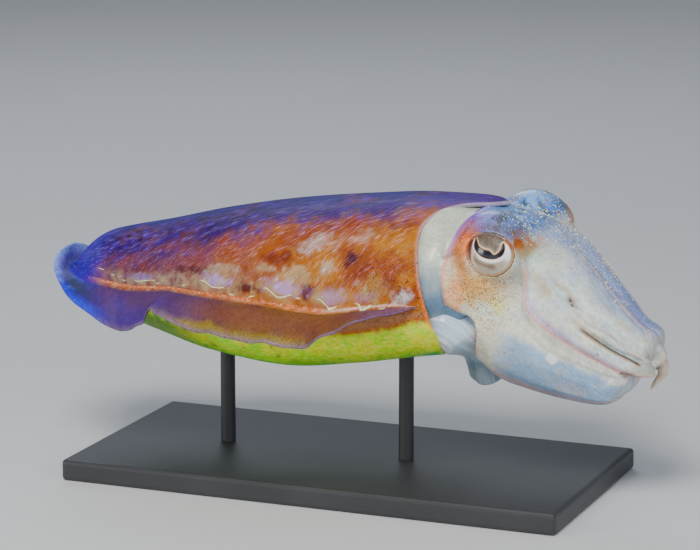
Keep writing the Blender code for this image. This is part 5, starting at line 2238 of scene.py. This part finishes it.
@dataclass
class FunnelSkin:
    """Soft funnel under the head, with an open mouth."""

    axis: float
    wall: float = 0.0011
    ring: int = 120
    stations: int = 80
    open_from: float = 0.62  # how far up the bore reaches, as a share of the funnel
    roundness: float = 2.2
    # x and z of the middle, tilt, half width, height above, height below
    sections: tuple[Row, ...] = (
        (0.044, -0.012, 0, 0.035, 0.0145, 0.0148),
        (0.056, -0.0125, 12, 0.0372, 0.0175, 0.0156),
        (0.065, -0.019, 45, 0.0345, 0.0182, 0.015),
        (0.0685, -0.029, 72, 0.0165, 0.012, 0.011),
        (0.071, -0.039, 80, 0.013, 0.01, 0.0112),
    )

    def build(self) -> Piece:
        """Outer wall, rounded lip and bore as one closed skin.

        Returns:
            The funnel's skin.
        """
        rows = [(i / (len(self.sections) - 1), *row) for i, row in enumerate(self.sections)]
        curve = monotone_curve(rows)
        outer = np.linspace(0, 1, self.stations)
        inner = np.linspace(1, self.open_from, 24)[1:]
        run = np.concatenate([outer, [1.004, 1.004], inner])[:, None]
        lip = [0.25 * self.wall, 0.75 * self.wall]
        inset = np.concatenate([0 * outer, lip, self.wall + 0 * inner])[:, None]
        angle = np.linspace(-math.pi, math.pi, self.ring, endpoint=False)
        x, z, tilt, half_width, above, below = np.moveaxis(curve(run), -1, 0)
        pleats = 1 + 0.01 * np.cos(27 * angle) * ease(0.75, 0.2, run)
        dent = 1 - 0.1 * bump(np.abs(angle), 2.2, 0.35) * ease(0.6, 1.0, run)
        sizes = (half_width - inset, above - inset, below - inset)
        sideways, upward = oval(angle, *sizes, self.roundness)
        tongue = (0.0045 * np.sin(angle) ** 2 - 0.001) * ease(0.6, 1.0, run)
        points = tilted(x, z + self.axis, tilt, sideways * pleats * dent, upward * pleats * dent)
        lean = np.radians(tilt)
        points += np.stack([tongue * np.cos(lean), 0 * tongue, -tongue * np.sin(lean)], axis=-1)
        piece = closed_loft("funnel_skin", points)
        inside = inset / self.wall
        degrees = np.degrees(np.abs(angle))[None, :]
        lay = np.stack(np.broadcast_arrays(run, degrees, inside), axis=-1).reshape(-1, 3)
        set_field(piece, "lay", np.vstack([lay, [[0, 90, 0], [self.open_from, 90, 1]]]))
        clean(piece)
        self.paint(piece)
        smooth_shading(piece)
        return piece

    def paint(self, piece: Piece) -> None:
        """Stores the tints: white at the root, glassy blue-grey towards the mouth, and darker inside the
        bore as painted shade.

        Args:
            piece: The funnel's skin.
        """
        run, degrees, inside = field_of(piece, "lay").T
        wide = cloud(points_of(piece), 0.008, 8)
        tint = layered(
            (0.56, 0.74, 0.88),
            ((0.84, 0.9, 0.92), ease(0.0, 0.6, wide)),
            ((0.15, 0.24, 0.32), ease(0.62, 0.82, run + 0.06 * wide)),
            ((0.26, 0.38, 0.44), 0.8 * ease(0.8, 1.0, run) * bump(degrees, 130, 34)),
            ((0.36, 0.48, 0.52), 0.8 * ease(0.985, 1.0, run)),
            # darker inside the bore: painted shade
            ((0.1, 0.15, 0.19), 0.8 * ease(0.6, 1.0, inside) * ease(1.0, 0.95, run)),
        )
        set_field(piece, "tint", np.clip(tint, *TINT_LIMITS))


def set_up_camera(axis: float) -> None:
    """Places the camera so that the body axis falls at the middle of the photograph's frame.

    Args:
        axis: Height of the body axis.
    """
    azimuth, elevation, distance = math.radians(22), math.radians(12), 1.4
    metres_per_pixel, frame_width, sensor = 0.00046, 700, 36.0
    level = math.cos(elevation)
    back = Vector((math.sin(azimuth) * level, -math.cos(azimuth) * level, math.sin(elevation)))
    data = bpy.data.cameras.new("camera")
    data.sensor_width = sensor
    data.lens = sensor * distance / (metres_per_pixel * frame_width)
    data.clip_start = 0.01
    camera = bpy.data.objects.new("camera", data)
    camera.location = Vector((0, 0, axis)) + back * distance
    camera.rotation_euler = back.to_track_quat("Z", "Y").to_euler()
    bpy.context.scene.collection.objects.link(camera)
    bpy.context.scene.camera = camera


def hand_over(piece: Piece, finish: Material, slot: str, *nodes: str) -> None:
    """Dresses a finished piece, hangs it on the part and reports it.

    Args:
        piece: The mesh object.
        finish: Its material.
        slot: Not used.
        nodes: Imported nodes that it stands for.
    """
    wear(piece, finish)
    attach(piece, "root")
    if nodes:
        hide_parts(*nodes)
    log.info("%s: %d faces", piece.name, len(piece.data.polygons))


@dataclass(frozen=True)
class Studio:
    """Pale floor, soft lights and a dim, even surrounding."""

    floor_size: float = 8.0
    surrounding: Colour = (0.8, 0.86, 0.95)
    surrounding_strength: float = 0.3
    # name, place, size, watts, colour
    lights: tuple[tuple[str, Row, float, float, Colour], ...] = (
        ("key", (0.15, -1.05, 1.25), 0.55, 22.0, (1.0, 0.97, 0.93)),
        ("fill", (1.3, -0.8, 0.55), 0.7, 7.0, (0.88, 0.93, 1.0)),
        ("back", (-0.6, 1.1, 1.1), 0.6, 5.0, (0.75, 0.84, 1.0)),
        ("low", (-1.1, -0.9, 0.35), 0.6, 7.5, (1.0, 0.97, 0.93)),
    )

    def build(self, target: Vector) -> None:
        """Adds the floor and the lights, which face the target.

        Args:
            target: Where the lights point.
        """
        bpy.ops.mesh.primitive_plane_add(size=self.floor_size)
        floor = bpy.context.active_object
        floor.name = "floor"
        floor.data.materials.append(PaleFloor("floor").make())
        for name, place, size, watts, colour in self.lights:
            data = bpy.data.lights.new(name, "AREA")
            data.shape = "SQUARE"
            data.size = size
            data.energy = watts
            data.color = colour
            light = bpy.data.objects.new(name, data)
            light.location = place
            light.rotation_euler = (Vector(place) - target).to_track_quat("Z", "Y").to_euler()
            bpy.context.scene.collection.objects.link(light)
        world = bpy.data.worlds.new("studio")
        bpy.context.scene.world = world
        world.use_nodes = True
        background = world.node_tree.nodes["Background"].inputs
        background["Color"].default_value = (*self.surrounding, 1)
        background["Strength"].default_value = self.surrounding_strength


def main() -> None:
    """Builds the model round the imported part, piece by piece."""
    logging.basicConfig(level=logging.INFO, format="%(message)s")
    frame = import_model()
    bpy.ops.object.select_all(action="DESELECT")
    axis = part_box("mantle")[1].z - MANTLE_TOP
    set_up_camera(axis)
    mantle = MantleSkin(axis)
    mantle_skin = mantle.build()
    mantle.paint(mantle_skin)
    mantle_finish = WetSkin(
        "mantle_skin", dot_size=0.0011, line_pitch=1.35, gloss=0.5, shine=0.15, coat=0.04, line_paint=0.3
    ).make()
    hand_over(mantle_skin, mantle_finish, "mantle_skin", "mantle", "fin_left", "fin_right")
    head_axis = HeadAxis(axis)
    head = HeadSkin(head_axis, ArmShape(head_axis))
    head_skin = head.build()
    head.paint(head_skin)
    skin_finish = WetSkin(
        "head_skin",
        lines=(0.7, 0.68, 0.62),
        specks=(0.28, 0.085, 0.022),
        dots=(0.86, 0.88, 0.6),
        speck_size=0.0009,
        dot_size=0.0013,
        line_pitch=0.8,
    ).make()
    papillae = Papillae(head_axis).build(head_skin)
    head.thin(head_skin)
    arm_nodes = [f"arm_{arm.number}_{side.word}" for side in Side for arm in ARMS]
    hand_over(head_skin, skin_finish, "head_skin", "neck", "head", *arm_nodes)
    hand_over(papillae, skin_finish, "head_skin")
    hand_over(Suckers(head.arms).build(), skin_finish, "arm_skin")
    hand_over(FunnelSkin(axis).build(), PaleFlesh("funnel_skin").make(), "pale_skin", "funnel")
    gloss = EyeGloss("eye").make()
    for side in Side:
        hand_over(Eyeball(head.eye, axis).build(side), gloss, "eye", f"eye_{side.word}")
        hand_over(Lids(head.eye, axis).build(side), skin_finish, "head_skin")
    coat = PowderCoat("stand_coat").make()
    for node in ("stand_base", "stand_rod_front", "stand_rod_rear"):
        wear(frame["nodes"][node], coat)
        log.info("%s: powder coat", node)
    Studio().build(Vector((0, 0, axis)))
    log.info("nodes: %d", len(frame["nodes"]))


if __name__ == "__main__":
    main()
